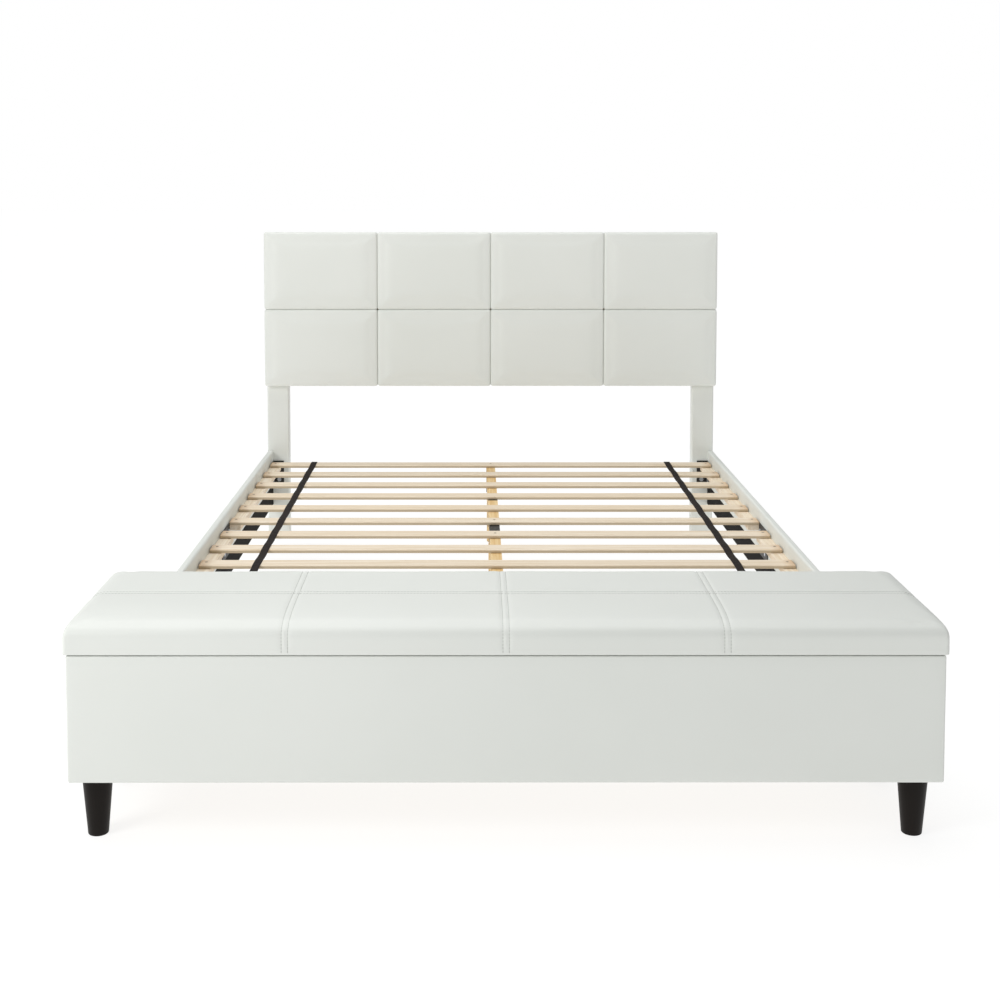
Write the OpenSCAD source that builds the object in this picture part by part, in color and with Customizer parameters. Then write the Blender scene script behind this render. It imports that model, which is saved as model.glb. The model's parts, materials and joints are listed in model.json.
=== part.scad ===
// Upholstered queen bed whose footboard is a blanket chest with a padded, hinged lid.
// Millimetres. +X is to the right seen from the foot, +Y points to the headboard, +Z is up.
// The origin is on the floor, under the middle of the whole bed.

/* [Mattress space] */
// Clear width between the inner faces of the side rails
inner_w = 1536; // [1400:4:1700]
// Clear length from the headboard legs to the back of the chest
inner_l = 2036; // [1960:4:2120]

/* [Side rails] */
// Thickness of a covered side rail
rail_t = 19; // [16:1:26]
// Height of a side rail
rail_h = 196; // [170:2:220]
// Height of the rails' lower edge above the floor
rail_z = 112; // [90:2:140]
// Distance from the headboard legs to the joint in each rail
rail_joint_at = 998; // [960:2:1040]
// Thickness of the cover on the rails and on the headboard legs
cover_t = 2; // [1:0.5:3]
// Rounding of the covered edges of rails and legs
edge_r = 6; // [4:1:8]
// Width of the gap between the two halves of a rail's cover
joint_gap = 1; // [0.5:0.5:2]
// Width of a ledger that carries the slat ends
ledger_w = 34; // [28:1:42]
// Height of a ledger
ledger_h = 16; // [14:1:28]
// Distance from the top of a ledger down to the dark lining
lining_drop = 74; // [40:1:110]
// Number of screws in each half ledger
ledger_screws_n = 3; // [1:1:3]

/* [Brackets and bolts] */
// Thickness of the brackets and joint plates
plate_t = 3; // [2:0.5:4]
// Height of the brackets and joint plates
plate_h = 86; // [76:1:96]
// Depth of their upper edge below the slats' upper face
plate_drop = 3; // [2:1:10]
// Width of the flange that lies on a leg or on the chest
flange_w = 38; // [32:1:44]
// Length of a bracket along the rail
bracket_l = 50; // [40:1:60]
// Length of a joint plate along the rail
joint_plate_l = 120; // [100:2:140]
// Clearance between a ledger's end and the plate next to it
ledger_clear = 3; // [2:1:10]
// Distance of each bolt from a plate's upper or lower edge
bolt_edge = 20; // [14:1:26]
// Radius of a bolt's shank
bolt_r = 4; // [3:0.5:5]
// Length of a frame bolt under its head
bolt_l = 18; // [15:1:19]
// Radius of a bolt's head
bolt_head_r = 7; // [6:0.5:9]
// Height of a bolt's head
bolt_head_h = 3; // [2:0.5:4]

/* [Slats] */
// Width of a slat
slat_w = 55; // [48:1:64]
// Thickness of a slat
slat_t = 10; // [8:1:14]
// Rounding of a slat's long edges
slat_r = 3; // [1:0.5:4]
// Gap between a slat's end and the rail
slat_gap = 3; // [1:0.5:6]
// Depth of the slats' upper face below the top of the rails
slat_drop = 33; // [24:1:42]
// Number of slats on each side of the rail joint
slats_per_half = 6; // [4:1:7]
// Distance from the headboard legs to the middle of the first slat
slat_first = 71; // [60:1:90]
// Distance from the chest to the middle of the last slat
slat_last = 174; // [120:2:200]
// Distance from the rail joint to the middle of the slat on its head side
slat_before_joint = 85; // [70:1:100]
// Distance from the rail joint to the middle of the slat on its foot side
slat_after_joint = 74; // [60:1:90]
// Distance of a slat's end screw from its end
slat_screw_in = 14; // [10:1:20]
// Distance of a slat's end screws from its middle line, towards the head
slat_screw_back = 6; // [0:1:12]
// Radius of a wood screw
screw_r = 2; // [1.5:0.25:2.5]
// Radius of a wood screw's head
screw_head_r = 4; // [3:0.25:5]
// Height of a wood screw's head
screw_head_h = 2; // [1:0.5:3]
// Length of a slat screw
slat_screw_l = 22; // [16:1:25]
// Length of a ledger screw
ledger_screw_l = 46; // [42:1:48]

/* [Straps] */
// Distance from the bed's middle line to the middle of a strap
strap_x = 617; // [500:1:680]
// Width of a strap
strap_w = 20; // [14:1:30]
// Thickness of a strap
strap_t = 1.5; // [1:0.25:2]
// Sag of a strap between two slats
strap_sag = 2.5; // [1:0.5:6]
// Width of a staple's crown
staple_w = 10; // [6:1:12]
// Thickness of the staple wire
staple_t = 0.8; // [0.5:0.1:1]
// Depth of a staple's legs in the slat
staple_depth = 5; // [3:0.5:7]

/* [Centre support] */
// Width of the centre beam
beam_w = 30; // [24:1:40]
// Height of the centre beam
beam_h = 50; // [40:1:70]
// Distance from the headboard legs to the end of the beam
beam_head_gap = 30; // [10:1:40]
// Thickness of the steel on the beam
strap_steel_t = 2; // [1.5:0.25:2.5]
// Length of the channel that joins the halves of the beam
beam_channel_l = 140; // [100:2:144]
// Height of that channel
beam_channel_h = 40; // [30:1:45]
// Length of a leg clip along the beam
leg_clip_l = 50; // [40:1:54]
// Distance that a leg clip reaches down over its leg
leg_clip_reach = 35; // [25:1:50]
// Offset of the second leg from the slat above it, towards the foot
leg_offset = 11; // [0:1:15]
// Height of the hanger under the beam's foot end
hanger_h = 60; // [52:1:80]
// Depth of the hanger along the beam
hanger_d = 40; // [25:1:60]

/* [Headboard] */
// Width of the headboard
head_w = 1580; // [1440:4:1740]
// Height of the padded panel
head_h = 539; // [440:1:640]
// Height of the panel's lower edge above the floor
head_z = 542; // [480:1:600]
// Thickness of the board in the panel
head_board_t = 16; // [12:1:20]
// Depth of the pads in front of the board
pad_depth = 30; // [20:1:40]
// Depth of the cover over the board at a seam
pad_seam = 7; // [5:1:10]
// Thickness of the padding around the board's edge
head_wrap = 7; // [5:1:10]
// Distance that the edge is drawn in at a seam
pad_pull = 3; // [1:0.5:4]
// Number of pads across
pads_across = 4; // [2:1:5]
// Number of pads up
pads_up = 2; // [1:1:3]
// Thickness of the dust cover behind the board
dust_t = 1; // [0.5:0.5:2]
// Distance from the board's edge to the dust cover
dust_in = 12; // [8:1:20]
// Width of a headboard leg
leg_w = 76; // [64:1:90]
// Depth of a headboard leg
leg_d = 44; // [36:1:56]
// Distance from the headboard's top to the top of its legs
leg_top_drop = 31; // [20:1:80]
// Distance from the panel's lower or upper edge to a headboard bolt
head_bolt_in = 70; // [50:1:110]
// Depth that a headboard bolt reaches into the board
head_bolt_bite = 12; // [8:1:12]
// Radius of a glide
glide_r = 10; // [8:0.5:12]
// Height of a glide
glide_h = 4; // [3:0.5:8]

/* [Chest] */
// Width of the chest
chest_w = 1656; // [1600:4:1800]
// Depth of the chest
chest_d = 370; // [330:2:420]
// Height of the covered box, without its feet
chest_h = 245; // [220:1:280]
// Thickness of the box's boards
chest_board_t = 15; // [12:1:18]
// Thickness of the box's cover
chest_cover_t = 3; // [2:0.5:4]
// Rounding of the box's upright corners
chest_r = 4; // [3:1:10]
// Thickness of the bottom board
chest_bottom_t = 12; // [9:1:18]
// Height of a foot
foot_h = 122; // [100:1:140]
// Radius of a foot at its top
foot_top_r = 30; // [22:0.5:32]
// Radius of a foot at the floor
foot_bottom_r = 19.5; // [14:0.5:22]
// Distance from the chest's end to the middle of a foot
foot_in_x = 42; // [40:1:60]
// Distance from the chest's front or back to the middle of a foot
foot_in_y = 60; // [46:1:70]
// Width of a foot's mounting plate
foot_plate_w = 46; // [40:1:56]
// Length of a foot's threaded stud below the box
foot_stud_l = 30; // [20:1:40]

/* [Lid] */
// Gap between the closed lid and the box
lid_gap = 2; // [1.5:0.5:4]
// Height of the lid at its edges, without the crown
lid_h = 64; // [50:1:75]
// Height of the lid's upright side
lid_side_h = 26; // [22:1:34]
// Distance that the lid reaches past the box at each end
lid_over_x = 4; // [2:1:8]
// Distance that the lid reaches past the box in front
lid_over_y = 2; // [0:1:6]
// Reach of the rounded front edge
lid_front_r = 60; // [40:1:80]
// Reach of the rounded back edge and ends
lid_edge_r = 22; // [12:1:26]
// Crown of the padding in the middle of each sewn panel
lid_crown = 4; // [2:0.5:8]
// Depth of a seam in the lid
lid_dip = 2.5; // [1:0.5:4]
// Distance from the lid's back edge to its long seam
lid_seam_y = 178; // [140:1:210]
// Half the width of a sewn seam
lid_seam_r = 9; // [6:1:12]
// Number of sewn panels across the lid
lid_panels = 4; // [2:1:5]
// Thickness of the lid's board
lid_board_t = 15; // [12:1:18]
// Thickness of the padding around the board's edge
lid_wrap = 6; // [4:1:9]
// Thickness of the lining under the board
lid_lining_t = 1; // [0.5:0.5:2]

/* [Hinges and stays] */
// Number of hinges
hinges_n = 3; // [2:1:4]
// Distance from the chest's end to the middle of the outer hinge
hinge_in = 208; // [120:2:300]
// Length of a hinge
hinge_l = 70; // [50:1:100]
// Width of a hinge leaf on the chest or on the lid
leaf_w = 16; // [12:1:17]
// Thickness of a hinge leaf
leaf_t = 0.9; // [0.6:0.1:0.95]
// Distance from the chest's back to the hinge axis
hinge_out = 4.5; // [4:0.25:8]
// Radius of a hinge knuckle
knuckle_r = 3.2; // [2.8:0.1:3.8]
// Radius of a hinge pin
pin_r = 2; // [1.5:0.1:2.3]
// Clearance between a turning part and its pin
run_clear = 0.06; // [0.02:0.01:0.1]
// Number of knuckles in a hinge
knuckles_n = 5; // [3:2:7]
// Gap between two knuckles
knuckle_gap = 0.4; // [0.2:0.1:1]
// Distance from the hinge axis to each pivot of a gas stay
stay_arm = 200; // [190:1:210]
// Distance from the hinge axis forward to a stay's lower pivot
stay_forward = 35; // [32:1:40]
// Distance from the hinge axis down to a stay's upper pivot
stay_drop = 13; // [12:0.5:16]
// Distance from the box's end board to the middle of a stay
stay_in = 16; // [15:1:26]
// Radius of a stay's cylinder
stay_tube_r = 9; // [8:0.5:10]
// Wall of a stay's cylinder
stay_wall = 1; // [0.8:0.1:1.5]
// Length of a stay's cylinder
stay_tube_l = 209; // [205:1:212]
// Radius of a stay's rod
stay_rod_r = 4; // [3:0.5:5]
// Length of a stay's rod from its pivot to the piston's end
stay_rod_l = 205; // [200:1:208]
// Radius of an eye at a stay's end
eye_r = 8; // [7:0.5:9]
// Width of an eye
eye_w = 10; // [9:0.5:12]
// Radius of a stay's pivot pin
stay_pin_r = 4; // [3:0.25:4.5]
// Thickness of a stay bracket
stay_plate_t = 2.5; // [2:0.25:3]
// Width of a stay bracket
stay_plate_w = 40; // [30:1:50]

/* [Hidden] */

// Small overlap that keeps a cut from ending on a face
cut = 0.5;
// Facets of the round parts, and of the screws and staples' small shanks
round_fn = 48;
screw_fn = 12;
left = -1;
right = 1;

// Places along the bed
bed_l = leg_d + inner_l + chest_d + lid_over_y;
y_back = bed_l / 2;
y_leg = y_back - leg_d;
y_joint = y_leg - rail_joint_at;
y_chest = y_leg - inner_l;
y_front = y_chest - chest_d;
y_box_back = y_chest - chest_cover_t;
y_box_front = y_front + chest_cover_t;

// Places across the bed
rail_in = inner_w / 2;
rail_out = rail_in + rail_t;
core_t = rail_t - 2 * cover_t;
leg_x = rail_out - leg_w / 2;
box_x = chest_w / 2 - chest_cover_t;
end_in = box_x - chest_board_t;
foot_x = chest_w / 2 - foot_in_x;
foot_y = [y_front + foot_in_y, y_chest - foot_in_y];
lid_x = chest_w / 2 + lid_over_x;
stay_x = end_in - stay_in;

// Heights
rail_top = rail_z + rail_h;
slat_top = rail_top - slat_drop;
bearing_z = slat_top - slat_t;
lining_top = bearing_z - lining_drop;
plate_top = slat_top - plate_drop;
plate_z = plate_top - plate_h;
bolt_zs = [plate_z + bolt_edge, plate_top - bolt_edge];
chest_top = foot_h + chest_h;
box_z = foot_h + chest_cover_t;
box_top = chest_top - chest_cover_t;
head_top = head_z + head_h;
leg_top = head_top - leg_top_drop;
lid_z = chest_top + lid_gap;
lid_side_z = lid_z + lid_side_h;
lid_top = lid_z + lid_h;
lid_board_z = lid_z + lid_lining_t;

// Slats, the beam under them and its legs
slats_n = 2 * slats_per_half;
head_pitch = (rail_joint_at - slat_before_joint - slat_first) / (slats_per_half - 1);
foot_pitch = (inner_l - slat_last - rail_joint_at - slat_after_joint) / (slats_per_half - 1);
function slat_y(i) = i < slats_per_half
    ? y_leg - slat_first - i * head_pitch
    : y_joint - slat_after_joint - (i - slats_per_half) * foot_pitch;
slat_end = rail_in - slat_gap;
beam_z = bearing_z - beam_h;
beam_leg_w = beam_w - 2 * strap_steel_t;
leg_ys = [slat_y(0), slat_y(slats_per_half / 2) - leg_offset, slat_y(slats_n - 3)];
ledger_head = [y_leg - bracket_l - ledger_clear, y_joint + joint_plate_l / 2 + ledger_clear];
ledger_foot = [y_joint - joint_plate_l / 2 - ledger_clear, y_chest + bracket_l + ledger_clear];

// Lid hinge axis and the pivots of the gas stays, in the plane of a stay.
// Both pivots lie at the same distance from the hinge axis, so the stay turns half as far
// as the lid and stays in line with itself.
axis_y = y_chest + hinge_out;
axis_z = chest_top + lid_gap / 2;
stay_low = [axis_y - stay_forward, axis_z - sqrt(pow(stay_arm, 2) - pow(stay_forward, 2))];
stay_high = [axis_y - sqrt(pow(stay_arm, 2) - pow(stay_drop, 2)), axis_z - stay_drop];
stay_l = norm(stay_high - stay_low);
stay_tilt = atan2(stay_low[0] - stay_high[0], stay_high[1] - stay_low[1]);
stay_neck = 14;
stay_guide = 10;
stay_cap = 4;
piston_l = 10;
stay_bore_r = stay_tube_r - stay_wall;
pin_head_over = 1.5;
stay_play = 1;
rail_r = min(edge_r, rail_t / 2 - 1);

// ---------------------------------------------------------------- shapes that repeat

// Draws its children on the left or on the right; they are modelled on the right
module on_side(side) {
    mirror([side == left ? 1 : 0, 0, 0]) children();
}

// Block given by its lowest and highest corners
module block(low, high) {
    translate(low) cube(high - low);
}

// Rectangle with rounded corners, centred
module round_rect(w, h, r) {
    square([w - 2 * r, h], center = true);
    square([w, h - 2 * r], center = true);
    for (x = [-1, 1], y = [-1, 1])
        translate([x * (w / 2 - r), y * (h / 2 - r)]) circle(r = r, $fn = round_fn);
}

// Profile in the plane of X and Z, carried from y0 towards the head as far as y1
module along_y(y0, y1) {
    translate([0, y1, 0]) rotate([90, 0, 0]) linear_extrude(y1 - y0) children();
}

// Screw or bolt with its head at the origin, its shank along -Z
module fastener(shank_r, shank_l, head_r, head_h, fn = screw_fn) {
    cylinder(r = head_r, h = head_h, $fn = fn);
    translate([0, 0, -shank_l]) cylinder(r = shank_r, h = shank_l, $fn = fn);
}

// Hole for a fastener, a little longer than the part that it cuts
module fastener_hole(shank_r, shank_l, head_r, head_h) {
    translate([0, 0, -shank_l]) cylinder(r = shank_r, h = shank_l, $fn = round_fn);
    cylinder(r = head_r, h = head_h + cut, $fn = round_fn);
}

// ---------------------------------------------------------------- padding

// Numbers from 0 to 1, packed towards both ends
function packed(n) = [for (k = [0 : n - 1]) (1 - cos(180 * k / n)) / 2];

// Rise of a pad over its breadth, from 0 at a seam to 1 in the middle
function pad_rise(t) = sqrt(1 - pow(abs(2 * t - 1), 4));

// Rise of a rounded edge at a distance d from it
function edge_rise(d, r) = d >= r ? 1 : sqrt(1 - pow(1 - d / r, 2));

// Indexes of a grid's edge points, round from the first corner
function grid_edge(nx, ny) = let (row = ny + 1) concat(
    [for (i = [0 : nx]) i * row],
    [for (j = [1 : ny]) nx * row + j],
    [for (i = [nx - 1 : -1 : 0]) i * row + ny],
    [for (j = [ny - 1 : -1 : 1]) j]);

// Closed pad. The grid is its padded face; rim, lip and seat are rings as long as the grid's
// edge: the foot of its sides, the mouth of the pocket for the board, and the pocket's end.
module pad_solid(nx, ny, grid, rim, lip, seat) {
    row = ny + 1;
    edge = grid_edge(nx, ny);
    m = len(edge);
    first = len(grid);
    rings = [edge, [for (k = [0 : m - 1]) first + k], [for (k = [0 : m - 1]) first + m + k],
        [for (k = [0 : m - 1]) first + 2 * m + k]];
    middle = [for (a = [0 : 2]) (min([for (p = seat) p[a]]) + max([for (p = seat) p[a]])) / 2];
    faces = concat(
        [for (i = [0 : nx - 1], j = [0 : ny - 1]) let (p = i * row + j) each
            [[p, p + 1, p + row + 1], [p, p + row + 1, p + row]]],
        [for (r = [0 : 2], k = [0 : m - 1]) let (n = (k + 1) % m, a = rings[r], b = rings[r + 1])
            each [[a[k], a[n], b[n]], [a[k], b[n], b[k]]]],
        [for (k = [0 : m - 1]) [rings[3][k], rings[3][(k + 1) % m], first + 3 * m]]);
    polyhedron(concat(grid, rim, lip, seat, [middle]), faces);
}

// ---------------------------------------------------------------- headboard

head_board_y = y_leg - dust_t - head_board_t;

module headboard_board() {
    color("#c8a878") difference() {
        block([-head_w / 2 + head_wrap, head_board_y, head_z + head_wrap],
            [head_w / 2 - head_wrap, y_leg - dust_t, head_top - head_wrap]);
        headboard_bolt_places() fastener_hole(bolt_r, leg_d + dust_t + head_bolt_bite,
            bolt_r, cut);
    }
}

// Eight crowned pads, drawn in at the seams, whose cover goes round the board's edges
module headboard_cushion() {
    cells = 8;
    nx = pads_across * cells;
    nz = pads_up * cells;
    steps = packed(cells);
    pad_w = head_w / pads_across;
    pad_h = head_h / pads_up;
    front = head_board_y;
    function along(k, size) = (floor(k / cells) + (steps[k % cells])) * size;
    function rise(k) = pad_rise(steps[k % cells]);
    function x_at(i) = -head_w / 2 + along(i, pad_w);
    function z_at(j) = head_z + along(j, pad_h);
    function drawn(place, k, n, other) = place + pad_pull * (1 - rise(other))
        * (k == 0 ? 1 : k == n ? -1 : 0);
    grid = [for (i = [0 : nx], j = [0 : nz]) [drawn(x_at(i), i, nx, j),
        front - pad_seam - (pad_depth - pad_seam) * rise(i) * rise(j),
        drawn(z_at(j), j, nz, i)]];
    edge = grid_edge(nx, nz);
    flat = [for (i = [0 : nx], j = [0 : nz]) [x_at(i), z_at(j)]];
    // a ring inside the edge, as far in as the padding is thick, at the depth y
    function inner(y) = [for (k = edge) [flat[k][0] * (1 - 2 * head_wrap / head_w), y,
        head_z + head_wrap + (flat[k][1] - head_z) * (1 - 2 * head_wrap / head_h)]];
    rim = [for (k = edge) [grid[k][0], y_leg - dust_t, grid[k][2]]];
    color("#e3e4df") pad_solid(nx, nz, grid, rim, inner(y_leg - dust_t), inner(front));
}

module headboard_dust_cover() {
    inset = head_wrap + dust_in;
    color("#3a3a3c") difference() {
        block([-head_w / 2 + inset, y_leg - dust_t, head_z + inset],
            [head_w / 2 - inset, y_leg, head_top - inset]);
        headboard_bolt_places() fastener_hole(bolt_r, leg_d + 2 * dust_t, bolt_r, cut);
    }
}

// Puts its children at each headboard bolt, on the back of a leg
module headboard_bolt_places() {
    for (side = [left, right], z = [head_z + head_bolt_in, leg_top - head_bolt_in])
        translate([side * leg_x, y_back - bolt_head_h, z]) rotate([-90, 0, 0]) children();
}

module headboard_bolts() {
    color("#c9ccd0") headboard_bolt_places()
        fastener(bolt_r, leg_d + dust_t - bolt_head_h + head_bolt_bite, bolt_head_r,
            bolt_head_h, round_fn);
}

// Space of the bolts that hold a headboard leg, its board and its bracket
module head_leg_holes() {
    headboard_bolt_places() fastener_hole(bolt_r, leg_d, bolt_head_r, bolt_head_h);
    head_flange_places(right) fastener_hole(bolt_r, bolt_l, bolt_r, cut);
}

module head_leg(side) {
    on_side(side) color("#dcc39a") difference() {
        block([leg_x - leg_w / 2 + cover_t, y_leg + cover_t, glide_h],
            [leg_x + leg_w / 2 - cover_t, y_back - cover_t, leg_top - cover_t]);
        head_leg_holes();
    }
}

// Sleeve of the headboard's cover material round a leg, closed at its top
module head_leg_cover(side) {
    on_side(side) color("#e3e4df") difference() {
        translate([leg_x, y_back - leg_d / 2, glide_h])
            linear_extrude(leg_top - glide_h) round_rect(leg_w, leg_d, edge_r);
        block([leg_x - leg_w / 2 + cover_t, y_leg + cover_t, glide_h - cut],
            [leg_x + leg_w / 2 - cover_t, y_back - cover_t, leg_top - cover_t]);
        head_leg_holes();
    }
}

module leg_glides() {
    color("#2b2b2b") {
        for (side = [left, right]) translate([side * leg_x, y_back - leg_d / 2, 0])
            cylinder(r = glide_r, h = glide_h, $fn = round_fn);
        for (y = leg_ys) translate([0, y, 0])
            cylinder(r = glide_r, h = glide_h, $fn = round_fn);
    }
}

// ---------------------------------------------------------------- side rails

// Ends of one half of a rail, towards the foot and towards the head
function rail_span(half) = half == "head" ? [y_joint, y_leg] : [y_chest, y_joint];

// Ends of its cover, which stops half a gap short of the joint
function cover_span(half) = half == "head"
    ? [y_joint + joint_gap / 2, y_leg] : [y_chest, y_joint - joint_gap / 2];

module rail_core(side, half) {
    span = rail_span(half);
    on_side(side) color("#c8a878") difference() {
        block([rail_in + cover_t, span[0], rail_z + cover_t],
            [rail_out - cover_t, span[1], rail_top - cover_t]);
        rail_bolt_holes();
        ledger_screw_places(right) fastener_hole(screw_r, ledger_screw_l, screw_r, cut);
    }
}

// Cover round a rail; low on the inner face it makes way for the lining
module rail_cover(side, half) {
    span = cover_span(half);
    on_side(side) color("#e3e4df") difference() {
        along_y(span[0], span[1]) translate([rail_in + rail_t / 2, rail_z + rail_h / 2])
            round_rect(rail_t, rail_h, rail_r);
        block([rail_in + cover_t, span[0] - cut, rail_z + cover_t],
            [rail_out - cover_t, span[1] + cut, rail_top - cover_t]);
        block([rail_in - cut, span[0] - cut, rail_z + rail_r],
            [rail_in + cover_t + cut, span[1] + cut, lining_top]);
        rail_bolt_holes();
        ledger_screw_places(right) fastener_hole(screw_r, ledger_screw_l, screw_r, cut);
    }
}

// Dark lining on the lower inner faces of the rails, in two halves each
module rail_liners() {
    for (side = [left, right], half = ["head", "foot"]) on_side(side) color("#1f1f20") {
        span = cover_span(half);
        difference() {
            block([rail_in, span[0], rail_z + rail_r], [rail_in + cover_t, span[1], lining_top]);
            rail_bolt_holes();
        }
    }
}

module ledger(side, half) {
    ends = half == "head" ? ledger_head : ledger_foot;
    on_side(side) color("#e4d0a8") difference() {
        block([rail_in - ledger_w, ends[1], bearing_z - ledger_h], [rail_in, ends[0], bearing_z]);
        ledger_screw_places(right)
            fastener_hole(screw_r, ledger_screw_l, screw_head_r, screw_head_h);
        slat_screw_places(right) fastener_hole(screw_r, slat_screw_l, screw_r, cut);
    }
}

// Puts its children at each ledger screw, halfway between two slats, its head flush with
// the ledger's inner face
module ledger_screw_places(side) {
    for (first = [0, slats_per_half], k = [0 : ledger_screws_n - 1]) {
        i = first + 2 * k;
        translate([side * (rail_in - ledger_w + screw_head_h), (slat_y(i) + slat_y(i + 1)) / 2,
            bearing_z - ledger_h / 2]) rotate([0, side * -90, 0]) children();
    }
}

module ledger_screws() {
    color("#8c8c8c") for (side = [left, right]) ledger_screw_places(side)
        fastener(screw_r, ledger_screw_l - screw_head_h, screw_head_r, screw_head_h);
}

// ---------------------------------------------------------------- brackets and bolts

// Places along the rail of the bolts through the brackets' and joint plates' long sides
rail_bolt_ys = [y_leg - bracket_l / 2 - plate_t / 2, y_joint + joint_plate_l / 3,
    y_joint - joint_plate_l / 3, y_chest + bracket_l / 2 + plate_t / 2];
flange_bolt_x = rail_in - flange_w / 2 - plate_t;

// Puts its children at each bolt that goes sideways into a rail
module rail_bolt_places(side) {
    for (y = rail_bolt_ys, z = bolt_zs) translate([side * (rail_in - plate_t), y, z])
        rotate([0, side * -90, 0]) children();
}

// Puts its children at each bolt that goes into a headboard leg
module head_flange_places(side) {
    for (z = bolt_zs) translate([side * flange_bolt_x, y_leg - plate_t, z])
        rotate([90, 0, 0]) children();
}

// Puts its children at each bolt that goes into the back of the chest
module foot_flange_places(side) {
    for (z = bolt_zs) translate([side * flange_bolt_x, y_chest + plate_t, z])
        rotate([-90, 0, 0]) children();
}

module rail_bolt_holes() {
    rail_bolt_places(right) fastener_hole(bolt_r, bolt_l, bolt_r, cut);
}

// Angle bracket in the corner between a rail and the face at y, on which it is bolted
module corner_bracket(y, towards) {
    flange = [min(y, y + towards * plate_t), max(y, y + towards * plate_t)];
    side_y = [min(y, y + towards * bracket_l), max(y, y + towards * bracket_l)];
    difference() {
        union() {
            block([rail_in - flange_w, flange[0], plate_z], [rail_in, flange[1], plate_top]);
            block([rail_in - plate_t, side_y[0], plate_z], [rail_in, side_y[1], plate_top]);
        }
        rail_bolt_holes();
        head_flange_places(right) fastener_hole(bolt_r, bolt_l, bolt_r, cut);
        foot_flange_places(right) fastener_hole(bolt_r, bolt_l, bolt_r, cut);
    }
}

module head_brackets() {
    color("#262524") for (side = [left, right]) on_side(side) corner_bracket(y_leg, -1);
}

module foot_brackets() {
    color("#262524") for (side = [left, right]) on_side(side) corner_bracket(y_chest, 1);
}

module rail_joint_plates() {
    color("#262524") for (side = [left, right]) on_side(side) difference() {
        block([rail_in - plate_t, y_joint - joint_plate_l / 2, plate_z],
            [rail_in, y_joint + joint_plate_l / 2, plate_top]);
        rail_bolt_holes();
    }
}

module frame_bolts() {
    color("#c9ccd0") for (side = [left, right]) {
        rail_bolt_places(side) fastener(bolt_r, bolt_l, bolt_head_r, bolt_head_h, round_fn);
        head_flange_places(side) fastener(bolt_r, bolt_l, bolt_head_r, bolt_head_h, round_fn);
        foot_flange_places(side) fastener(bolt_r, bolt_l, bolt_head_r, bolt_head_h, round_fn);
    }
}

// ---------------------------------------------------------------- slats and straps

// Slats that are also screwed to the centre beam
fixed_slats = [0, slats_per_half - 1, slats_per_half, slats_n - 1];

// Puts its children at each slat screw over a ledger, its head flush with the slat
module slat_screw_places(side) {
    for (i = [0 : slats_n - 1])
        translate([side * (slat_end - slat_screw_in), slat_y(i) + slat_screw_back,
            slat_top - screw_head_h]) children();
}

// Puts its children at each slat screw over the centre beam
module beam_screw_places() {
    for (i = fixed_slats) translate([0, slat_y(i), slat_top - screw_head_h]) children();
}

// Staple over a strap: a crown with two legs, at the origin on the strap's upper face
module staple() {
    w = staple_w / 2;
    block([-w, -staple_t / 2, 0], [w, staple_t / 2, staple_t]);
    for (x = [-w, w - staple_t])
        block([x, -staple_t / 2, -strap_t - staple_depth], [x + staple_t, staple_t / 2, 0]);
}

module staple_places() {
    for (side = [left, right], i = [0 : slats_n - 1])
        translate([side * strap_x, slat_y(i), slat_top + strap_t]) children();
}

// Row of slats, from one index to another
module slat_roll(from, to) {
    color("#e4d4bc") difference() {
        for (i = [from : to]) translate([-slat_end, slat_y(i), slat_top - slat_t / 2])
            rotate([90, 0, 90]) linear_extrude(2 * slat_end) round_rect(slat_w, slat_t, slat_r);
        for (side = [left, right]) slat_screw_places(side)
            fastener_hole(screw_r, slat_screw_l, screw_head_r, screw_head_h);
        beam_screw_places() fastener_hole(screw_r, slat_screw_l, screw_head_r, screw_head_h);
        staple_places() staple();
    }
}

module slats_head() { slat_roll(0, slats_per_half - 1); }
module slats_foot() { slat_roll(slats_per_half, slats_n - 1); }

module slat_screws() {
    color("#6b5a48") {
        for (side = [left, right]) slat_screw_places(side)
            fastener(screw_r, slat_screw_l - screw_head_h, screw_head_r, screw_head_h);
        beam_screw_places()
            fastener(screw_r, slat_screw_l - screw_head_h, screw_head_r, screw_head_h);
    }
}

// Lower edge of a strap: flat over each slat, a shallow parabola between two slats
sag_steps = 8;
function strap_line() = [for (i = [0 : slats_n - 1]) let (
        back = slat_y(i) + slat_w / 2, front = slat_y(i) - slat_w / 2,
        next = i < slats_n - 1 ? slat_y(i + 1) + slat_w / 2 : front) each concat(
    [[back, slat_top]],
    i < slats_n - 1
        ? [for (k = [0 : sag_steps - 1]) let (t = k / sag_steps)
            [front + (next - front) * t, slat_top - 4 * strap_sag * t * (1 - t)]]
        : [[front, slat_top]])];

module strap(side) {
    line = strap_line();
    n = len(line);
    outline = concat(line, [for (k = [n - 1 : -1 : 0]) line[k] + [0, strap_t]]);
    on_side(side) color("#3a3836") difference() {
        translate([strap_x - strap_w / 2, 0, 0]) rotate([90, 0, 90])
            linear_extrude(strap_w) polygon(outline);
        staple_places() staple();
    }
}

module strap_staples() {
    color("#a9a9a9") staple_places() staple();
}

// ---------------------------------------------------------------- centre support

// Rebate round the beam's top and sides, from y0 to y1, that lets steel lie flush in it
module beam_rebate(y0, y1, depth) {
    difference() {
        block([-beam_w, y0, bearing_z - depth], [beam_w, y1, bearing_z + cut]);
        block([-beam_leg_w / 2, y0 - cut, beam_z - cut],
            [beam_leg_w / 2, y1 + cut, bearing_z - strap_steel_t]);
    }
}

channel_y = [y_joint - beam_channel_l / 2, y_joint + beam_channel_l / 2];

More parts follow.
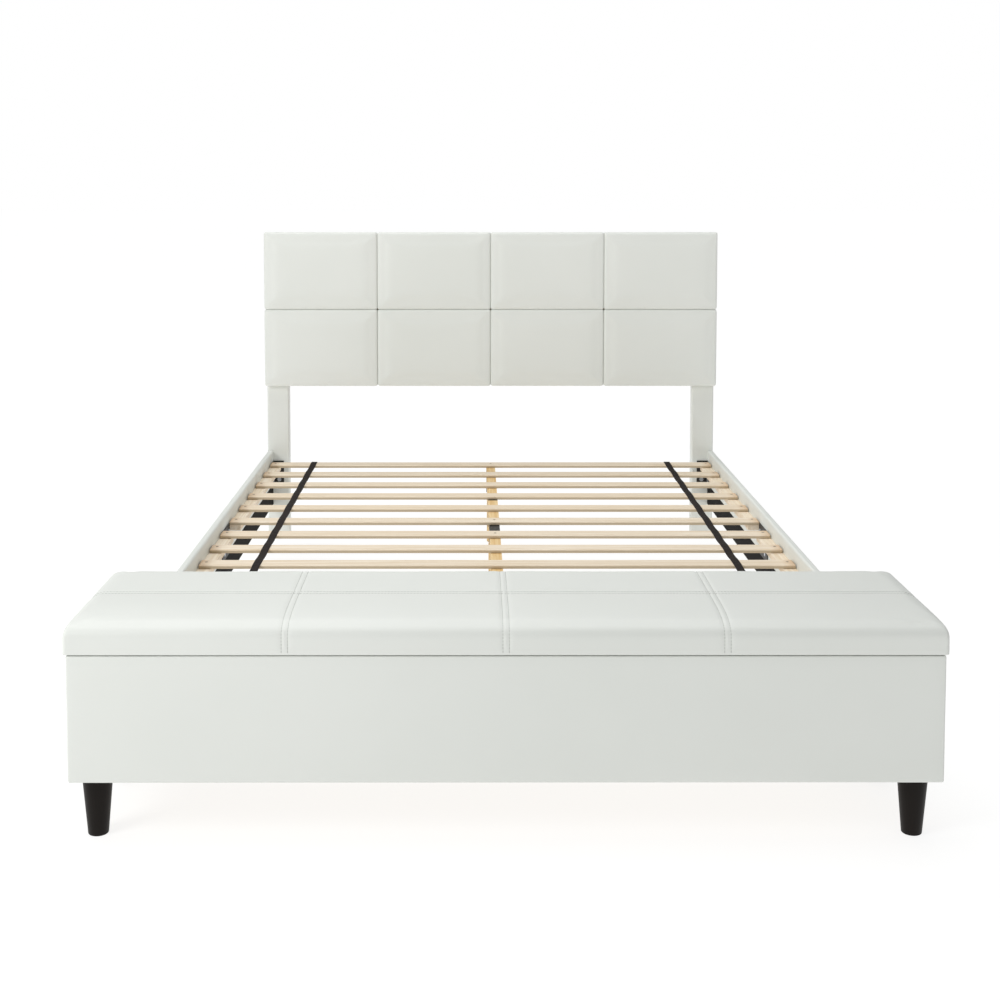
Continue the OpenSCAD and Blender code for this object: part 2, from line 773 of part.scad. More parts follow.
module beam_part(y0, y1) {
    color("#e8c88c") difference() {
        block([-beam_w / 2, y0, beam_z], [beam_w / 2, y1, bearing_z]);
        beam_rebate(channel_y[0], channel_y[1], beam_channel_h);
        for (y = leg_ys) beam_rebate(y - leg_clip_l / 2, y + leg_clip_l / 2, beam_h + cut);
        beam_screw_places() fastener_hole(screw_r, slat_screw_l, screw_r, cut);
    }
}

module centre_beam_head() { beam_part(y_joint, y_leg - beam_head_gap); }
module centre_beam_foot() { beam_part(y_chest + strap_steel_t, y_joint); }

// Steel turned down over both sides of the beam, from y0 to y1, as far as depth
module beam_steel(y0, y1, depth) {
    difference() {
        block([-beam_w / 2, y0, bearing_z - depth], [beam_w / 2, y1, bearing_z]);
        block([-beam_leg_w / 2, y0 - cut, bearing_z - depth - cut],
            [beam_leg_w / 2, y1 + cut, bearing_z - strap_steel_t]);
        beam_screw_places() fastener_hole(screw_r, slat_screw_l, screw_r, cut);
    }
}

module centre_beam_channel() {
    color("#3b3b3d") beam_steel(channel_y[0], channel_y[1], beam_channel_h);
}

module centre_leg_clips() {
    color("#262524") for (y = leg_ys)
        beam_steel(y - leg_clip_l / 2, y + leg_clip_l / 2, beam_h + leg_clip_reach);
}

module centre_legs() {
    color("#e8c88c") for (y = leg_ys)
        block([-beam_leg_w / 2, y - beam_leg_w / 2, glide_h],
            [beam_leg_w / 2, y + beam_leg_w / 2, beam_z]);
}

// Stirrup on the back of the chest that carries the beam's foot end
module centre_beam_hanger() {
    w = beam_w / 2 + strap_steel_t;
    low = beam_z - strap_steel_t;
    color("#262524") difference() {
        block([-w, y_chest, low], [w, y_chest + hanger_d, low + hanger_h - slat_t]);
        block([-beam_w / 2, y_chest + strap_steel_t, beam_z],
            [beam_w / 2, y_chest + hanger_d + cut, bearing_z + hanger_h]);
    }
}

// ---------------------------------------------------------------- chest

module chest_long_board(y0) {
    block([-box_x, y0, box_z], [box_x, y0 + chest_board_t, box_top]);
}

module chest_front_board() {
    color("#c8a878") chest_long_board(y_box_front);
}

module chest_back_board() {
    color("#c8a878") difference() {
        chest_long_board(y_box_back - chest_board_t);
        for (side = [left, right]) foot_flange_places(side)
            fastener_hole(bolt_r, bolt_l, bolt_r, cut);
    }
}

module chest_end(side) {
    on_side(side) color("#c8a878") block([end_in, y_box_front + chest_board_t, box_z],
        [box_x, y_box_back - chest_board_t, box_top]);
}

module chest_bottom_board() {
    color("#c8a878") difference() {
        block([-end_in, y_box_front + chest_board_t, box_z],
            [end_in, y_box_back - chest_board_t, box_z + chest_bottom_t]);
        foot_places() cylinder(r = bolt_r, h = box_top, $fn = round_fn);
    }
}

// Cover round the box's four sides, turned in under its boards and over its rim
module chest_cover() {
    inner = [2 * end_in, chest_d - 2 * (chest_cover_t + chest_board_t)];
    color("#e3e4df") difference() {
        translate([0, (y_chest + y_front) / 2, foot_h]) linear_extrude(chest_h) difference() {
            round_rect(chest_w, chest_d, chest_r);
            square(inner, center = true);
        }
        block([-box_x, y_box_front, box_z], [box_x, y_box_back, box_top]);
        for (side = [left, right]) foot_flange_places(side)
            fastener_hole(bolt_r, bolt_l, bolt_r, cut);
    }
}

// Puts its children under each corner of the chest, on the floor
module foot_places() {
    for (x = [-foot_x, foot_x], y = foot_y) translate([x, y, 0]) children();
}

module chest_feet() {
    color("#2a2724") foot_places() difference() {
        cylinder(r1 = foot_bottom_r, r2 = foot_top_r, h = foot_h, $fn = round_fn);
        translate([0, 0, foot_h - foot_stud_l])
            cylinder(r = bolt_r, h = foot_stud_l + cut, $fn = round_fn);
    }
}

// Plate under the bottom board at each foot, with the stud that the foot screws on to
module chest_foot_plates() {
    color("#8f9296") foot_places() {
        translate([-foot_plate_w / 2, -foot_plate_w / 2, foot_h])
            cube([foot_plate_w, foot_plate_w, chest_cover_t]);
        translate([0, 0, foot_h - foot_stud_l])
            cylinder(r = bolt_r, h = foot_stud_l + chest_cover_t + chest_bottom_t, $fn = round_fn);
    }
}

// ---------------------------------------------------------------- lid

lid_y = [y_front - lid_over_y, y_chest];
lid_seam_at = y_chest - lid_seam_y;

// Stations across the lid: the rounded ends, each seam and its shoulders, and between them
lid_panel_w = 2 * lid_x / lid_panels;
lid_xs = concat(
    [for (s = [0, 0.15, 0.5]) -lid_x + s * lid_edge_r],
    [for (p = [0 : lid_panels - 1]) let (a = -lid_x + p * lid_panel_w, b = a + lid_panel_w) each
        concat(p == 0 ? [a + lid_edge_r] : [a, a + lid_seam_r],
            [for (t = [0.25, 0.5, 0.75]) a + t * lid_panel_w],
            p == lid_panels - 1 ? [b - lid_edge_r] : [b - lid_seam_r])],
    [for (s = [0.5, 0.15, 0]) lid_x - s * lid_edge_r]);

// Stations from the front of the lid to its back
lid_ys = concat(
    [for (s = [0, 0.06, 0.2, 0.45, 0.7, 1]) lid_y[0] + s * lid_front_r],
    [for (t = [0.35, 0.7]) lid_y[0] + lid_front_r + t * (lid_seam_at - lid_y[0] - lid_front_r)],
    [lid_seam_at - lid_seam_r, lid_seam_at, lid_seam_at + lid_seam_r],
    [for (t = [0.3, 0.6]) lid_seam_at + t * lid_seam_y],
    [for (s = [1, 0.5, 0.15, 0]) lid_y[1] - s * lid_edge_r]);

// Height of the padding at a place: rounded edges, a crown in each panel and dips at seams
function lid_height(x, y) = let (
        ends = edge_rise(lid_x - abs(x), lid_edge_r),
        sides = edge_rise(y - lid_y[0], lid_front_r) * edge_rise(lid_y[1] - y, lid_edge_r),
        across = (x + lid_x) / lid_panel_w,
        panel = across - floor(across),
        crown = sin(180 * panel) * sin(180 * (y - lid_y[0]) / (lid_y[1] - lid_y[0])),
        seam = min([for (p = [1 : lid_panels - 1]) abs(x + lid_x - p * lid_panel_w)]),
        near = min(seam, abs(y - lid_seam_at)))
    lid_side_z + ends * sides * (lid_top - lid_side_z + lid_crown * crown
        - (near < lid_seam_r / 2 ? lid_dip : 0));

module lid_cushion() {
    nx = len(lid_xs) - 1;
    ny = len(lid_ys) - 1;
    grid = [for (x = lid_xs, y = lid_ys) [x, y, lid_height(x, y)]];
    edge = grid_edge(nx, ny);
    half = (lid_y[1] - lid_y[0]) / 2;
    mid = (lid_y[1] + lid_y[0]) / 2;
    // a ring inside the edge, as far in as the padding is thick, at the height z
    function inner(z) = [for (k = edge) [grid[k][0] * (1 - lid_wrap / lid_x),
        mid + (grid[k][1] - mid) * (1 - lid_wrap / half), z]];
    rim = [for (k = edge) [grid[k][0], grid[k][1], lid_z]];
    color("#e3e4df") pad_solid(nx, ny, grid, rim, inner(lid_z), inner(lid_board_z + lid_board_t));
}

module lid_plate(z0, z1) {
    block([-lid_x + lid_wrap, lid_y[0] + lid_wrap, z0], [lid_x - lid_wrap, lid_y[1] - lid_wrap, z1]);
}

module lid_board() {
    color("#c8a878") lid_plate(lid_board_z, lid_board_z + lid_board_t);
}

module lid_lining() {
    color("#2d2d2f") lid_plate(lid_z, lid_board_z);
}

// ---------------------------------------------------------------- hinges

hinge_xs = [for (k = [0 : hinges_n - 1])
    -chest_w / 2 + hinge_in + k * (chest_w - 2 * hinge_in) / (hinges_n - 1)];
knuckle_l = (hinge_l - (knuckles_n - 1) * knuckle_gap) / knuckles_n;

// Every second knuckle of a hinge, from the given one, and the leaf that they turn
module hinge_leaf(first, z0) {
    for (x = hinge_xs) translate([x - hinge_l / 2, axis_y, axis_z]) difference() {
        union() {
            for (k = [first : 2 : knuckles_n - 1]) {
                translate([k * (knuckle_l + knuckle_gap), 0, 0]) rotate([0, 90, 0])
                    cylinder(r = knuckle_r, h = knuckle_l, $fn = round_fn);
                translate([k * (knuckle_l + knuckle_gap), -hinge_out - cut, z0 - axis_z])
                    cube([knuckle_l, hinge_out + cut, leaf_t]);
            }
            translate([0, -hinge_out - leaf_w, z0 - axis_z]) cube([hinge_l, leaf_w, leaf_t]);
        }
        translate([-cut, 0, 0]) rotate([0, 90, 0])
            cylinder(r = pin_r + run_clear, h = hinge_l + 2 * cut, $fn = round_fn);
    }
}

module hinge_chest_leaves() {
    color("#b9bcc0") hinge_leaf(0, chest_top);
}

module hinge_lid_leaves() {
    color("#b9bcc0") hinge_leaf(1, lid_z - leaf_t);
}

module hinge_pins() {
    color("#8f9296") for (x = hinge_xs) translate([x - hinge_l / 2, axis_y, axis_z])
        rotate([0, 90, 0]) cylinder(r = pin_r, h = hinge_l, $fn = round_fn);
}

// ---------------------------------------------------------------- gas stays

// Stay drawn upwards from its lower pivot, then tilted to its place in the closed chest
module in_stay_line(side) {
    translate([side * stay_x, stay_low[0], stay_low[1]]) rotate([stay_tilt, 0, 0]) children();
}

module eye() {
    rotate([0, 90, 0]) cylinder(r = eye_r, h = eye_w, center = true, $fn = round_fn);
}

module eye_bore() {
    rotate([0, 90, 0])
        cylinder(r = stay_pin_r + run_clear, h = 2 * eye_w, center = true, $fn = round_fn);
}

module stay_rod(side) {
    in_stay_line(side) color("#c9ccd0") difference() {
        union() {
            eye();
            cylinder(r = stay_rod_r, h = stay_rod_l - cut, $fn = round_fn);
            translate([0, 0, stay_rod_l - piston_l])
                cylinder(r = stay_bore_r - run_clear, h = piston_l, $fn = round_fn);
        }
        eye_bore();
    }
}

module stay_cylinder(side) {
    mouth = stay_l - stay_neck - stay_tube_l;
    in_stay_line(side) color("#1f1f20") difference() {
        union() {
            translate([0, 0, stay_l]) eye();
            translate([0, 0, stay_l - stay_neck - cut])
                cylinder(r = stay_rod_r, h = stay_neck + cut, $fn = round_fn);
            translate([0, 0, mouth]) cylinder(r = stay_tube_r, h = stay_tube_l, $fn = round_fn);
        }
        translate([0, 0, stay_l]) eye_bore();
        translate([0, 0, mouth - cut])
            cylinder(r = stay_rod_r + run_clear, h = 2 * stay_guide, $fn = round_fn);
        translate([0, 0, mouth + stay_guide])
            cylinder(r = stay_bore_r, h = stay_tube_l - stay_guide - stay_cap, $fn = round_fn);
    }
}

// Pivot pin of a stay, from the plate at x0 to just past the eye, with a head
module stay_pivot(x0) {
    translate([stay_x - eye_w / 2 - cut, 0, 0]) rotate([0, 90, 0])
        cylinder(r = stay_pin_r, h = x0 - stay_x + eye_w / 2 + cut, $fn = round_fn);
    translate([stay_x - eye_w / 2 - cut - stay_plate_t, 0, 0]) rotate([0, 90, 0])
        cylinder(r = stay_pin_r + pin_head_over, h = stay_plate_t, $fn = round_fn);
}

// Plate on the box's end board, with the pin of a stay's lower eye
module stay_chest_brackets() {
    w = stay_plate_w / 2 - eye_r;
    color("#8f9296") for (side = [left, right]) on_side(side)
        translate([0, stay_low[0], stay_low[1]]) {
            block([end_in - stay_plate_t, -w, -w], [end_in, w, w]);
            stay_pivot(end_in - stay_plate_t);
        }
}

// Angle under the lid, with the pin of a stay's upper eye
module stay_lid_brackets() {
    w = stay_plate_w / 2;
    x0 = stay_x + eye_w / 2 + stay_play;
    color("#8f9296") for (side = [left, right]) on_side(side)
        translate([0, stay_high[0], 0]) {
            block([x0 - w / 2, -w, lid_z - stay_plate_t], [x0 + stay_plate_t, w, lid_z]);
            block([x0, -eye_r, stay_high[1]], [x0 + stay_plate_t, eye_r, lid_z - stay_plate_t]);
            translate([x0, 0, stay_high[1]]) rotate([0, 90, 0])
                cylinder(r = eye_r, h = stay_plate_t, $fn = round_fn);
            translate([0, 0, stay_high[1]]) stay_pivot(x0);
        }
}

// ---------------------------------------------------------------- nodes

headboard_board();
headboard_cushion();
headboard_dust_cover();
head_leg(left);  // head_leg_left
head_leg(right);  // head_leg_right
head_leg_cover(left);  // head_leg_cover_left
head_leg_cover(right);  // head_leg_cover_right
headboard_bolts();
leg_glides();
rail_core(left, "head");  // rail_left_head
rail_core(left, "foot");  // rail_left_foot
rail_core(right, "head");  // rail_right_head
rail_core(right, "foot");  // rail_right_foot
rail_cover(left, "head");  // rail_cover_left_head
rail_cover(left, "foot");  // rail_cover_left_foot
rail_cover(right, "head");  // rail_cover_right_head
rail_cover(right, "foot");  // rail_cover_right_foot
rail_liners();
ledger(left, "head");  // ledger_left_head
ledger(left, "foot");  // ledger_left_foot
ledger(right, "head");  // ledger_right_head
ledger(right, "foot");  // ledger_right_foot
rail_joint_plates();
head_brackets();
foot_brackets();
frame_bolts();
ledger_screws();
slats_head();
slats_foot();
slat_screws();
strap(left);  // strap_left
strap(right);  // strap_right
strap_staples();
centre_beam_head();
centre_beam_foot();
centre_beam_channel();
centre_legs();
centre_leg_clips();
centre_beam_hanger();
chest_front_board();
chest_back_board();
chest_end(left);  // chest_end_left
chest_end(right);  // chest_end_right
chest_bottom_board();
chest_cover();
chest_feet();
chest_foot_plates();
lid_board();
lid_cushion();
lid_lining();
hinge_chest_leaves();
hinge_lid_leaves();
hinge_pins();
stay_cylinder(left);  // stay_cylinder_left
stay_cylinder(right);  // stay_cylinder_right
stay_rod(left);  // stay_rod_left
stay_rod(right);  // stay_rod_right
stay_chest_brackets();
stay_lid_brackets();
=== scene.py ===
"""Looks of an upholstered bed with a blanket chest at its foot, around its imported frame.

Lengths in the classes are millimetres in the frame's own axes: +X to the right, +Y to the
headboard, +Z up. Meshes are written in metres.
"""

from __future__ import annotations

import json
import logging
from collections.abc import Callable
from dataclasses import dataclass
from enum import Enum

import bpy
import numpy as np
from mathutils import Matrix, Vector
from mathutils.bvhtree import BVHTree

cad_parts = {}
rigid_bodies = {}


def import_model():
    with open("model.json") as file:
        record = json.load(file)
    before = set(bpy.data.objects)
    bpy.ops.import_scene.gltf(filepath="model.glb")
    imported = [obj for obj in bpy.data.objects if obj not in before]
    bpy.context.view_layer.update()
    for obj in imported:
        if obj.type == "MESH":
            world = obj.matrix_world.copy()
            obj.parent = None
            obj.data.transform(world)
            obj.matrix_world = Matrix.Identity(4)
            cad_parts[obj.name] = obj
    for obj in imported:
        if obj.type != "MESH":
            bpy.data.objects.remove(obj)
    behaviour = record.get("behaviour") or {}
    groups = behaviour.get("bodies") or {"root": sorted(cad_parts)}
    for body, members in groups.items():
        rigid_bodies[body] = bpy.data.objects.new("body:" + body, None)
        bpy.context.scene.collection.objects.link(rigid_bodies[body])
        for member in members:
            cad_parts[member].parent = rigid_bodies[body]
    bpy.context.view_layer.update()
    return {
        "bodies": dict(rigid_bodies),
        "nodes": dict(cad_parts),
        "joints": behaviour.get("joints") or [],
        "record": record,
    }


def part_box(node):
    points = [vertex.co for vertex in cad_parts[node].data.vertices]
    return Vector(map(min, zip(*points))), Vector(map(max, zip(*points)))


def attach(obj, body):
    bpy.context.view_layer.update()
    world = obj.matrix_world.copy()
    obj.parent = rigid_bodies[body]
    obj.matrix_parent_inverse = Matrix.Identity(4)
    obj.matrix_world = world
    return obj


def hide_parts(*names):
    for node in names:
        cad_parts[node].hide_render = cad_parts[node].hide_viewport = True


LOG = logging.getLogger("bed")
MM = 0.001
METRE = 1000.0
WAVE_PERIOD = np.pi / 10  # Blender's sine bands repeat every 2 pi / 20 of a unit
WHITE = (1.0, 1.0, 1.0, 1.0)
SENSOR_MM = 36.0

# steps of the soft surfaces, in millimetres from a seam or as shares of a whole
SEAM_STEPS = (-16.0, -12.0, -9.0, -6.0, -3.0, 0.0, 3.0, 6.0, 9.0, 12.0, 16.0)
SEAM_CLEARANCE = 0.6
WALL_SHARES = (0.2, 0.4, 0.6, 0.8)
CAP_SHARES = (0.1, 0.35, 0.6, 0.85)
FOOT_THINNING = 8
ARC_POINTS = 7
BOARD_CLEAR = 0.4

Array = np.ndarray
Colour = tuple[float, float, float, float]
Material = bpy.types.Material
Piece = bpy.types.Object
Socket = bpy.types.NodeSocket
Span = tuple[float, float]
Tree = bpy.types.NodeTree
Way = tuple[float, float, float]


class Grain(Enum):
    """The axis along which a piece of wood was sawn."""

    X = 0
    Y = 1
    Z = 2


# ------------------------------------------------------------------ meshes


def to_linear(code: str) -> Colour:
    """Turns an sRGB hex colour into the linear values that a shader works with.

    By the standard's curve a value c becomes c / 12.92 up to 0.04045, and
    ((c + 0.055) / 1.055) ** 2.4 above.

    Args:
        code: colour such as "#e4e6e0".

    Returns:
        Linear red, green and blue, and an alpha of 1.
    """
    parts = np.array([int(code[i : i + 2], 16) for i in (1, 3, 5)]) / 255.0
    linear = np.where(parts <= 0.04045, parts / 12.92, ((parts + 0.055) / 1.055) ** 2.4)
    return (*map(float, linear), 1.0)


def node_box(node: str) -> tuple[Array, Array]:
    """Gives the lowest and the highest corner of a CAD node's box, in millimetres."""
    low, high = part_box(node)
    return np.array(low) / MM, np.array(high) / MM


def link(piece: Piece) -> Piece:
    """Puts an object into the scene and gives it back."""
    bpy.context.scene.collection.objects.link(piece)
    return piece


def smooth(mesh: bpy.types.Mesh) -> None:
    """Sets every face of a mesh to smooth shading."""
    mesh.polygons.foreach_set("use_smooth", np.ones(len(mesh.polygons), bool))


def write_mesh(name: str, points: Array, faces: list[list[int]]) -> Piece:
    """Makes an object at the origin from points and faces.

    Args:
        name: name of the new piece.
        points: places in millimetres, one row each.
        faces: corners of each face, counter-clockwise seen from outside.

    Returns:
        The new object, shaded smooth.
    """
    mesh = bpy.data.meshes.new(name)
    mesh.from_pydata((points * MM).tolist(), [], faces)
    mesh.update()
    smooth(mesh)
    return link(bpy.data.objects.new(name, mesh))


def tube_faces(count: int, around: int, closed: bool = False, tubes: int = 1) -> list[list[int]]:
    """Gives the faces of tubes whose points are written tube by tube and ring by ring.

    Args:
        count: number of rings in a tube.
        around: number of points in a ring.
        closed: True joins the last ring to the first; False caps both ends.
        tubes: number of tubes.

    Returns:
        Corners of each face.
    """
    last = count if closed else count - 1
    ring, spot = np.meshgrid(np.arange(last), np.arange(around), indexing="ij")
    after, beside = (ring + 1) % count, (spot + 1) % around
    corners = [ring * around + spot, ring * around + beside, after * around + beside, after * around + spot]
    base = np.arange(tubes)[:, None] * count * around
    faces = (np.stack(corners, -1).reshape(1, -1, 4) + base[..., None]).reshape(-1, 4).tolist()
    if not closed:
        faces += (np.arange(around)[::-1] + base).tolist()
        faces += (np.arange((count - 1) * around, count * around) + base).tolist()
    return faces


def loft(name: str, rings: Array, closed: bool = False) -> Piece:
    """Joins rings of points into one closed surface.

    Args:
        name: name of the new piece.
        rings: array of rings, points and X, Y, Z. Seen with the rings stacked towards the
            viewer, each one runs counter-clockwise.
        closed: True joins the last ring to the first; False caps both ends.

    Returns:
        The new object.
    """
    return write_mesh(name, rings.reshape(-1, 3), tube_faces(*rings.shape[:2], closed))


def eased_ends(height: float, radius: float, points: int) -> tuple[Array, Array]:
    """Gives the quarter rounds at the foot and the top of an upright profile.

    With an angle a from 0 to 90 degrees, the foot is r (1 - sin a) inwards at a height of
    r (1 - cos a), and the top r (1 - cos a) inwards, r (1 - sin a) below the profile's end.

    Args:
        height: height of the profile.
        radius: radius of the rounds.
        points: number of points in each round.

    Returns:
        Foot and top, as rows of distance inwards and height.
    """
    turn = np.radians(np.linspace(0.0, 90.0, points))
    off_sine, off_cosine = radius * (1 - np.sin(turn)), radius * (1 - np.cos(turn))
    return np.stack([off_sine, off_cosine], -1), np.stack([off_cosine, height - off_sine], -1)


def rounded_outline(size: Array, radius: float, spacing: float) -> tuple[Array, Array]:
    """Walks round a rectangle with rounded corners, counter-clockwise.

    The corner arcs are centre + radius * (cos a, sin a), and the straight sides between them
    are cut into steps of about the spacing.

    Args:
        size: width and depth.
        radius: radius of the corners.
        spacing: length of a step on the straight sides.

    Returns:
        The points and their outward directions.
    """
    points, normals = [], []
    signs = np.array([(1, 1), (-1, 1), (-1, -1), (1, -1)])
    centres = signs * (size / 2 - radius)
    for index, centre in enumerate(centres):
        angle = np.radians(90.0 * index + np.linspace(0.0, 90.0, ARC_POINTS))
        arc = np.stack([np.cos(angle), np.sin(angle)], -1)
        count = max(2, int((size[index % 2] - 2 * radius) / spacing))
        steps = np.arange(1, count)[:, None] / count
        side = centres[(index + 1) % len(centres)] - centre
        points += [centre + radius * arc, centre + radius * arc[-1] + side * steps]
        normals += [arc, np.repeat(arc[-1:], len(steps), 0)]
    return np.concatenate(points), np.concatenate(normals)


def stations(length: float, close: tuple[float, ...], spacing: float, lines: list[float]) -> Array:
    """Cuts a pillow's side into steps: fine ones at both ends and beside seams, even ones between.

    Args:
        length: length of the side.
        close: distances from each end that get a step.
        spacing: length of the even steps.
        lines: places of the seams along the side.

    Returns:
        The steps' places, from 0 to the length.
    """
    inner = close[-1] + spacing
    even = np.linspace(inner, length - inner, int((length - 2 * inner) / spacing) + 1)
    beside = np.add.outer(np.array(lines), np.array(SEAM_STEPS)).ravel()
    if len(beside):
        even = even[np.min(np.abs(even[:, None] - beside), axis=1) > SEAM_CLEARANCE * spacing]
    ends = np.array(close)
    return np.sort(np.concatenate([ends, even, beside, length - ends]))


def fall(distance: Array, reach: float, drop: float) -> Array:
    """Rounds a border, lower by drop (1 - sqrt(1 - q ** 2)) with q = 1 - distance / reach, or 0."""
    share = 1.0 - np.clip(distance / reach, 0.0, 1.0)
    return drop * (1.0 - np.sqrt(1.0 - share**2))


def join_falls(along_u: Array, along_v: Array) -> Array:
    """Joins the falls along two sides as (a ** 3 + b ** 3) ** (1 / 3), which keeps corners full."""
    return np.cbrt(along_u[:, None] ** 3 + along_v[None] ** 3)


def dips(distances: list[Array], reach: float) -> Array:
    """Adds up the dips beside seams, each exp(-(d / reach) ** 2) at a distance d."""
    return sum(np.exp(-((d / reach) ** 2)) for d in distances)


def over_board(points: Array, low: Array, high: Array) -> Array:
    """Tells which points lie within a board's outline, or a hair outside it."""
    return np.all((points > low - BOARD_CLEAR) & (points < high + BOARD_CLEAR), axis=1)


def pillow(u: Array, v: Array, top: Array, corner: float, close: int) -> Array:
    """Carries a closed profile along a pillow: a flat foot, two walls, and the face over them.

    In plan the corners are rounded: at a distance e from an end the profile is narrower by
    corner - sqrt(corner ** 2 - (corner - e) ** 2) at each side. Both ends are filled with
    copies of the first and last profile that shrink towards their middle.

    Args:
        u: places of the profiles.
        v: places of the face's points in a profile, starting at 0.
        top: heights of the face over the foot, one row for each profile.
        corner: radius of the corners in plan.
        close: number of fine steps at each end of v, kept in the foot too.

    Returns:
        Rings of points along u, v and upwards.
    """
    from_end = np.minimum(u, u[-1] - u)
    pulled = corner - np.sqrt(corner**2 - (corner - np.minimum(from_end, corner)) ** 2)
    place = pulled[:, None] + v / v[-1] * (v[-1] - 2 * pulled[:, None])
    climb = np.array(WALL_SHARES)
    foot = place[:, np.r_[0:close, close : len(v) - close : FOOT_THINNING, len(v) - close : len(v)]]
    walls = [np.repeat(place[:, [end]], len(climb), 1) for end in (-1, 0)]
    side = np.concatenate([foot, walls[0], place[:, ::-1], walls[1]], axis=1)
    height = np.concatenate([0 * foot, top[:, -1:] * climb, top[:, ::-1], top[:, :1] * climb[::-1]], axis=1)
    rings = np.stack([np.broadcast_to(u[:, None], side.shape), side, height], -1)
    shrink = np.array(CAP_SHARES)[:, None, None]
    middles = rings.mean(1, keepdims=True)
    start = middles[:1] + (rings[:1] - middles[:1]) * shrink
    end = middles[-1:] + (rings[-1:] - middles[-1:]) * shrink[::-1]
    return np.concatenate([start, rings, end])


def read_vectors(data: bpy.types.bpy_prop_collection, field: str) -> Array:
    """Reads a vector of each of a mesh's items.

    Args:
        data: the mesh's vertices or vertex normals.
        field: name of the vector.

    Returns:
        The vectors, one row each.
    """
    values = np.empty(len(data) * 3, np.float32)
    data.foreach_get(field, values)
    return values.reshape(-1, 3).astype(float)


def mesh_points(piece: Piece) -> Array:
    """Reads a mesh's points in millimetres, one row each."""
    return read_vectors(piece.data.vertices, "co") / MM


def move_points(piece: Piece, points: Array) -> None:
    """Writes a mesh's points back, given in millimetres, one row each."""
    piece.data.vertices.foreach_set("co", (points * MM).astype(np.float32).ravel())
    piece.data.update()


def freeze(piece: Piece) -> None:
    """Replaces a piece's mesh by what its modifiers make of it.

    Args:
        piece: a mesh object with live modifiers.
    """
    graph = bpy.context.evaluated_depsgraph_get()
    graph.update()
    mesh = bpy.data.meshes.new_from_object(piece.evaluated_get(graph), depsgraph=graph)
    piece.modifiers.clear()
    piece.data = mesh
    smooth(mesh)


def subdivide(piece: Piece) -> None:
    """Adds a Subdivision Surface modifier with one level, in views and renders alike."""
    finer = piece.modifiers.new("Finer", "SUBSURF")
    finer.levels = finer.render_levels = 1


@dataclass(frozen=True)
class Inflation:
    """Foam and wadding that press a cover outwards, as a cloth simulation."""

    cap: float
    pressure: float
    frames: int = 20
    quality: int = 5
    mass: float = 0.3
    stretch: float = 15.0
    bend: float = 0.5

    def swell(self, piece: Piece, held: Callable[[Array], Array]) -> None:
        """Lets a closed piece swell, each point by no more than the cap.

        The foam holds the cover out, so only the outward share s of a point's movement is
        kept, as cap * tanh(s / cap) along the point's own direction.

        Args:
            piece: closed mesh object, a little smaller than the finished pad.
            held: gives for an array of points how firmly each is stapled down, 0 to 1.
        """
        start, outward = mesh_points(piece), read_vectors(piece.data.vertex_normals, "vector")
        group = piece.vertex_groups.new(name="held")
        for index, weight in enumerate(held(start)):
            if weight > 0.0:
                group.add([index], float(weight), "REPLACE")
        cloth = piece.modifiers.new("Cover", "CLOTH")
        settings = cloth.settings
        settings.vertex_group_mass = group.name
        settings.quality = self.quality
        settings.mass = self.mass
        settings.tension_stiffness = settings.compression_stiffness = self.stretch
        settings.bending_stiffness = self.bend
        settings.use_pressure = True
        settings.uniform_pressure_force = self.pressure
        settings.effector_weights.gravity = 0.0
        cloth.point_cache.frame_start = 1
        cloth.point_cache.frame_end = self.frames
        scene = bpy.context.scene
        for step in range(1, self.frames + 1):
            scene.frame_set(step)
        freeze(piece)
        scene.frame_set(1)
        piece.vertex_groups.clear()
        share = np.sum((mesh_points(piece) - start) * outward, axis=1, keepdims=True)
        move_points(piece, start + outward * self.cap * np.tanh(np.maximum(share, 0.0) / self.cap))


# ------------------------------------------------------------------ shader nodes


def add_node(
    tree: Tree, kind: str, inputs: dict[str | int, object] | None = None, **settings: object
) -> bpy.types.Node:
    """Adds a shader node with its settings, values and links.

    Args:
        tree: material's or world's node tree.
        kind: Blender's name of the node's type.
        inputs: value or source socket for each input, by name or number.
        settings: the node's own settings.

    Returns:
        The new node.
    """
    node = tree.nodes.new(kind)
    for name, value in settings.items():
        setattr(node, name, value)
    for key, value in (inputs or {}).items():
        if isinstance(value, Socket):
            tree.links.new(value, node.inputs[key])
        else:
            node.inputs[key].default_value = value
    return node


def cells(size_mm: float) -> float:
    """Gives a pattern's scale in cells a metre from the real size of a cell."""
    return 1 / (size_mm * MM)


def noise(tree: Tree, place: Socket, size_mm: float, detail: float, twist: float = 0.0) -> Socket:
    """Adds noise with blots of a given size, a number of finer layers and values about a half."""
    inputs = {"Vector": place, "Scale": cells(size_mm), "Detail": detail, "Distortion": twist}
    return add_node(tree, "ShaderNodeTexNoise", inputs).outputs[0]


def stretch(tree: Tree, place: Socket, sizes_mm: tuple[float, ...]) -> Socket:
    """Scales coordinates so that a cell of a metre measures the given sizes along X, Y and Z."""
    scale = [cells(size) for size in sizes_mm]
    return add_node(tree, "ShaderNodeMapping", {"Vector": place, "Scale": scale}).outputs[0]


def remap(tree: Tree, value: Socket, to: Span, span: Span = (0.0, 1.0), **settings: object) -> Socket:
    """Maps the span of a value on to the range that comes out, and stops at its ends."""
    inputs = {"Value": value, "From Min": span[0], "From Max": span[1], "To Min": to[0], "To Max": to[1]}
    return add_node(tree, "ShaderNodeMapRange", inputs, **settings).outputs[0]


def mix(tree: Tree, share: Socket, first: str | Socket, second: str | Socket) -> Socket:
    """Mixes two colours, each a hex code or a socket, by the share of the second one."""
    pair = [to_linear(side) if isinstance(side, str) else side for side in (first, second)]
    return add_node(tree, "ShaderNodeMix", {0: share, 6: pair[0], 7: pair[1]}, data_type="RGBA").outputs[2]


